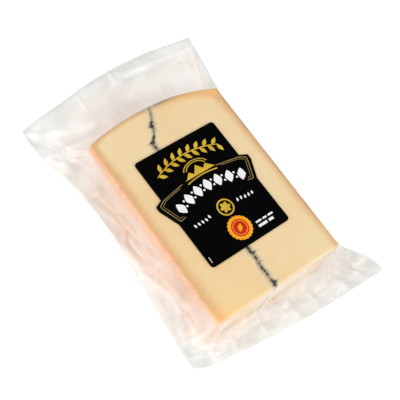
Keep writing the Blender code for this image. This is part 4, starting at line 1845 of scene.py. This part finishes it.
@dataclass(frozen=True)
class Label:
    """The black label with the ends of its ribbon, and its print of plain shapes."""

    centre: tuple[float, float] = (-0.5, 48.5)
    width: float = 44.2
    length: float = 56.4
    corner_radius: float = 1.6
    turn: float = math.radians(0.9)
    reach: float = 3.8
    foot: float = -5.0
    tip_low: float = 4.3
    tip_high: float = 6.6
    head: float = 8.3
    low: float = 32.0
    high: float = 32.32
    sprig: Arch = Arch(17.0, 17.6, 3.6)
    leaf: tuple[float, float] = (2.15, 0.95)
    # The three peaks: where each is, its height and how steeply it falls
    peaks: Rows = ((1.2, 4.6, 1.25), (-3.6, 2.9, 0.95), (5.6, 3.2, 0.95))
    peaks_foot: float = 9.9
    ground: Arch = Arch(8.2, 8.2, 0.9)
    rosette: tuple[float, float] = (0.4, -8.8)
    # One half of the ribbon's outer and inner line
    outer_line: Rows = ((9.5, 9.6), (21.0, 7.6), (24.1, 6.0), (24.1, 4.7), (20.6, -4.1), (17.2, -3.5))
    inner_line: Rows = ((11.5, 8.5), (20.4, 6.9), (23.0, 5.4), (23.0, 4.9), (19.9, -2.9), (18.2, -2.6))
    frieze: Arch = Arch(19.4, -0.7, 4.6)
    seal_middle: tuple[float, float] = (-0.1, -19.8)

    def outline(self, inset: float) -> Array:
        """The outline, counterclockwise: four round corners, and a ribbon's end at each side.

        Formula: the corners are quarter circles of 9 points, each ribbon's end is a hook of four
        points, and each of these points is followed by five more on the way to the next.

        Args:
            inset: how far inside the label's edge it runs.

        Returns:
            Its points.
        """
        half_width = self.width / 2 - inset
        half_length = self.length / 2 - inset
        tip = half_width + self.reach
        radius = self.corner_radius - inset
        hook = [
            (half_width, self.foot + inset),
            (tip, self.tip_low + inset),
            (tip, self.tip_high - inset),
            (half_width, self.head - inset),
        ]
        points = []
        for number, signs in enumerate(((1, -1), (1, 1), (-1, 1), (-1, -1))):
            angle = np.radians((number - 1) * 90 + np.linspace(0, 90, 9))
            middle = np.array(signs) * (half_width - radius, half_length - radius)
            points += list(middle + radius * np.stack([np.cos(angle), np.sin(angle)], -1))
            if number == 0:
                points += hook
            if number == 2:
                points += [(-x, y) for x, y in reversed(hook)]
        corners = np.array(points)
        after = np.roll(corners, -1, axis=0)
        share = evenly(6)[None, :, None]
        return (corners[:, None] * (1 - share) + after[:, None] * share).reshape(-1, 2)

    def stamp(self) -> Stamp:
        """An empty print on the label's face."""
        return Stamp(self.centre, self.turn, self.high)

    def paper(self) -> Surface:
        """The label itself: its outline as a thin body with a slightly rounded upper edge."""
        levels = ((0.0, self.low), (0.0, self.high - 0.08), (0.03, self.high - 0.02), (0.1, self.high))
        return loft(np.stack([self.stamp().lay(self.outline(inset), level) for inset, level in levels]))

    def gold(self) -> Surface:
        """The bright gold print: a leafy sprig, three peaks under a double arc, and a rosette.

        Formula: the leaves lean 52° from the sprig by turns to each side, and the peaks' outline
        is the highest of three pointed slopes.

        Returns:
            The print.
        """
        stamp = self.stamp()
        share = np.linspace(-1, 1, 61)
        stamp.stroke(self.sprig.at(share), 0.28 * (1 - 0.6 * share**8))
        for number, place in enumerate(np.linspace(-0.96, 0.96, 17)):
            side = 1 if number % 2 else -1
            direction = self.sprig.lean(place) + side * math.radians(52)
            out = np.array([math.cos(direction), math.sin(direction)])
            stamp.spot(self.sprig.at(place) + self.leaf[0] * out, lens(*self.leaf), turn=direction)
        across = np.linspace(-7.4, 9.4, 85)
        slopes = [height - fall * np.abs(across - place) for place, height, fall in self.peaks]
        ridge = np.maximum(np.max(slopes, axis=0), 0.15)
        foot = np.stack([across, self.peaks_foot + 0 * across], -1)
        stamp.band(foot, foot + np.column_stack([0 * ridge, ridge]))
        half = np.linspace(0, math.pi, 31)[3:-3]
        for radius in (3.6, 4.5):
            arc = np.stack([1.0 + radius * np.cos(half) * 1.5, 12.4 + radius * np.sin(half)], -1)
            stamp.stroke(arc, 0.2)
        stamp.stroke(self.ground.at(share) + np.array([1.0, 0.0]), 0.26)
        ring = circle(96)
        petals = evenly(96, FULL_TURN)
        stamp.spot(np.array(self.rosette), 1.35 + 1.25 * np.abs(np.cos(3 * petals)) ** 0.8)
        stamp.stroke(self.rosette + 3.7 * ring, 0.34, closed=True)
        return Surface.joined(stamp.parts)

    def ribbon(self) -> Surface:
        """The fine gold lines that edge both ends of the ribbon.

        Returns:
            The print.
        """
        stamp = self.stamp()
        share = evenly(9)[None, :, None]
        for points, half_width in ((self.outer_line, 0.15), (self.inner_line, 0.09)):
            line = np.array(points)
            dense = (line[:-1, None] * (1 - share) + line[1:, None] * share).reshape(-1, 2)
            for sign in (1, -1):
                stamp.stroke(dense * np.array([sign, 1.0]), half_width)
        return Surface.joined(stamp.parts)

    def white(self) -> Surface:
        """The white print: lozenges and dots on the ribbon, and leaves, bars and a mark below it.

        Returns:
            The print.
        """
        stamp = self.stamp()
        places = np.linspace(-0.86, 0.88, 7)
        for place in places:
            stamp.spot(self.frieze.at(place), lens(3.0, 2.0, 28), turn=self.frieze.lean(place) + math.pi / 2)
        for place in (places[1:] + places[:-1]) / 2:
            for rise in (1.3, -1.3):
                stamp.spot(self.frieze.at(place) + (0.0, rise), np.full(16, 0.5))
        for start, lean in ((-16.6, 0.25), (7.4, -0.25)):
            for number in range(5):
                across = start + 2.0 * number
                middle = np.array([across, -8.7 if abs(across) < 10 else -9.2])
                stamp.spot(middle, lens(0.95, 0.5, 16), turn=math.pi / 2 + lean)
        for along, half_width, bars in (
            (-21.6, 0.42, ((7.6, 10.6), (11.4, 13.6), (14.4, 17.2))),
            (-23.7, 0.62, ((7.6, 12.4), (13.4, 16.0))),
        ):
            for ends in bars:
                stamp.stroke(np.stack([np.linspace(*ends, 5), np.full(5, along)], -1), half_width)
        stamp.stroke(np.stack([np.full(4, -20.6), np.linspace(-26.2, -23.4, 4)], -1), 0.12)
        return Surface.joined(stamp.parts)

    def seal(self, radius: float, waves: float, high: float) -> Surface:
        """A disc of the plain round seal.

        Args:
            radius: its radius.
            waves: how high its edge's 20 waves are, or 0.
            high: how high it stands on the label.

        Returns:
            The print.
        """
        stamp = self.stamp()
        radii = radius + waves * np.cos(20 * evenly(120, FULL_TURN))
        stamp.spot(np.array(self.seal_middle), radii, high)
        return Surface.joined(stamp.parts)

    def seal_lines(self) -> Surface:
        """The fine ring and the leaf inside the seal.

        Returns:
            The print.
        """
        stamp = self.stamp()
        middle = np.array(self.seal_middle)
        stamp.stroke(middle + 3.3 * circle(90), 0.16, 0.11, closed=True)
        stamp.spot(middle, lens(2.0, 1.1), 0.11, turn=math.radians(55))
        return Surface.joined(stamp.parts)


# The studio


@dataclass(frozen=True)
class Softbox:
    """One large soft light, by where it stands and how large and strong it is."""

    name: str
    place: tuple[float, float, float]
    size: float
    watts: float
    colour: Colour = (1.0, 1.0, 1.0)

    def build(self, target: Array) -> None:
        """Makes the light and turns it to the target.

        Args:
            target: the point that it shines at.
        """
        lamp = bpy.data.lights.new(self.name, "AREA")
        lamp.shape = "DISK"
        lamp.size = self.size
        lamp.energy = self.watts
        lamp.color = self.colour
        light = bpy.data.objects.new(self.name, lamp)
        bpy.context.scene.collection.objects.link(light)
        place = np.array(self.place)
        back = (place - target) / np.linalg.norm(place - target)
        side = np.cross((0.0, 1.0, 0.001), back)
        side /= np.linalg.norm(side)
        light.matrix_world = matrix_of(side, np.cross(back, side), back, place)


def matrix_of(right: Array, up: Array, back: Array, place: Array) -> Matrix:
    """The matrix that places an object: its three directions and its place as columns."""
    columns = np.column_stack([right, up, back, place])
    return Matrix(np.vstack([columns, [0.0, 0.0, 0.0, 1.0]]).tolist())


@dataclass(frozen=True)
class Studio:
    """A pale floor, soft light from all round, and the camera at the photograph's angle."""

    place: Place
    camera_place: tuple[float, float, float] = (-191.5, -46.7, 381.3)
    camera_right: tuple[float, float, float] = (0.773, -0.5837, 0.2484)
    camera_view: tuple[float, float, float] = (0.453, 0.2337, -0.8604)
    focal_pixels: float = 950.0
    picture_pixels: float = 400.0
    sensor: float = 36.0
    world_light: float = 0.45
    floor_light: float = 0.60
    floor_radius: float = 4.0
    floor_sides: int = 96
    target: tuple[float, float, float] = (0.0, 0.0, 0.015)
    softboxes: tuple[Softbox, ...] = (
        Softbox("overhead", (-0.25, 0.25, 0.75), 0.6, 1.8),
        Softbox("front_right", (0.30, -0.60, 0.50), 0.45, 2.7),
        Softbox("left", (-0.75, -0.1, 0.35), 0.5, 2.1),
    )

    def build(self) -> None:
        """Makes floor, light and camera."""
        bpy.context.scene.view_settings.view_transform = "Standard"
        self.build_floor()
        self.build_light()
        self.build_camera()

    def build_floor(self) -> None:
        """A round, plain, pale floor."""
        tree = Tree("floor_paper")
        cloud = tree.noise(9, 3)
        pale = tree.mix(cloud, (0.60, 0.60, 0.60), (0.61, 0.61, 0.61))
        material = tree.finish(
            {
                "Base Color": pale,
                "Roughness": 0.85 + (cloud - 0.5) * 0.05,
                "Specular IOR Level": 0.1,
                "Emission Color": (1.0, 1.0, 1.0, 1.0),
                "Emission Strength": self.floor_light,
                "Normal": tree.bump(tree.noise(900), 0.00001),
            }
        )
        plan = np.column_stack([circle(self.floor_sides) * self.floor_radius, np.zeros(self.floor_sides)])
        mesh = bpy.data.meshes.new("floor")
        mesh.from_pydata(plan.tolist(), [], [list(range(self.floor_sides))])
        mesh.materials.append(material)
        floor = bpy.data.objects.new("floor", mesh)
        bpy.context.scene.collection.objects.link(floor)

    def build_light(self) -> None:
        """An even sky and the softboxes."""
        world = bpy.data.worlds.new("studio")
        world.use_nodes = True
        background = world.node_tree.nodes["Background"]
        background.inputs["Color"].default_value = (1.0, 1.0, 1.0, 1.0)
        background.inputs["Strength"].default_value = self.world_light
        bpy.context.scene.world = world
        for softbox in self.softboxes:
            softbox.build(np.array(self.target))

    def build_camera(self) -> None:
        """The camera, solved from the photograph."""
        data = bpy.data.cameras.new("camera")
        data.sensor_width = self.sensor
        data.lens = self.focal_pixels * self.sensor / self.picture_pixels
        data.clip_start = 0.01
        data.clip_end = 20.0
        camera = bpy.data.objects.new("camera", data)
        bpy.context.scene.collection.objects.link(camera)
        back = -np.array(self.camera_view)
        back /= np.linalg.norm(back)
        right = np.array(self.camera_right)
        right -= back * (right @ back)
        right /= np.linalg.norm(right)
        place = self.place.scene(np.array(self.camera_place))
        camera.matrix_world = matrix_of(right, np.cross(back, right), back, place)
        bpy.context.scene.camera = camera


def main() -> None:
    """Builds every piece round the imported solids."""
    logging.basicConfig(level=logging.INFO, format="%(message)s")
    portion = Portion()
    place = Place.of_solids(portion.front)
    maker = Maker(place)
    Studio(place).build()
    paste = PasteFinish().material()
    for half in Half:
        side = half.name.lower()
        surface = PasteHalf(portion, half).surface()
        maker.piece(f"cheese_{side}", surface, paste, Slot.PASTE, (f"paste_{side}",))
    maker.piece("ash_vein", AshVein(portion).surface(), AshFinish().material(), Slot.ASH, ("ash_layer",))
    film = maker.piece("film", Pouch(portion).surface(), FilmFinish().material(), Slot.FILM, ("pouch",))
    film.visible_shadow = False
    label = Label()
    maker.piece("label_paper", label.paper(), PAPER.material(), Slot.LABEL, ("label",), smooth=False)
    orange = ORANGE.material()
    prints = (
        ("gold_print", label.gold(), GOLD.material()),
        ("ribbon_lines", label.ribbon(), PALE_GOLD.material()),
        ("white_print", label.white(), WHITE.material()),
        ("seal_ring", label.seal(5.7, 0.16, 0.05), orange),
        ("seal_middle", label.seal(4.1, 0.0, 0.08), RED.material()),
        ("seal_leaf", label.seal_lines(), orange),
    )
    for name, surface, material in prints:
        maker.piece(name, surface, material, Slot.LABEL, smooth=False)


if __name__ == "__main__":
    main()
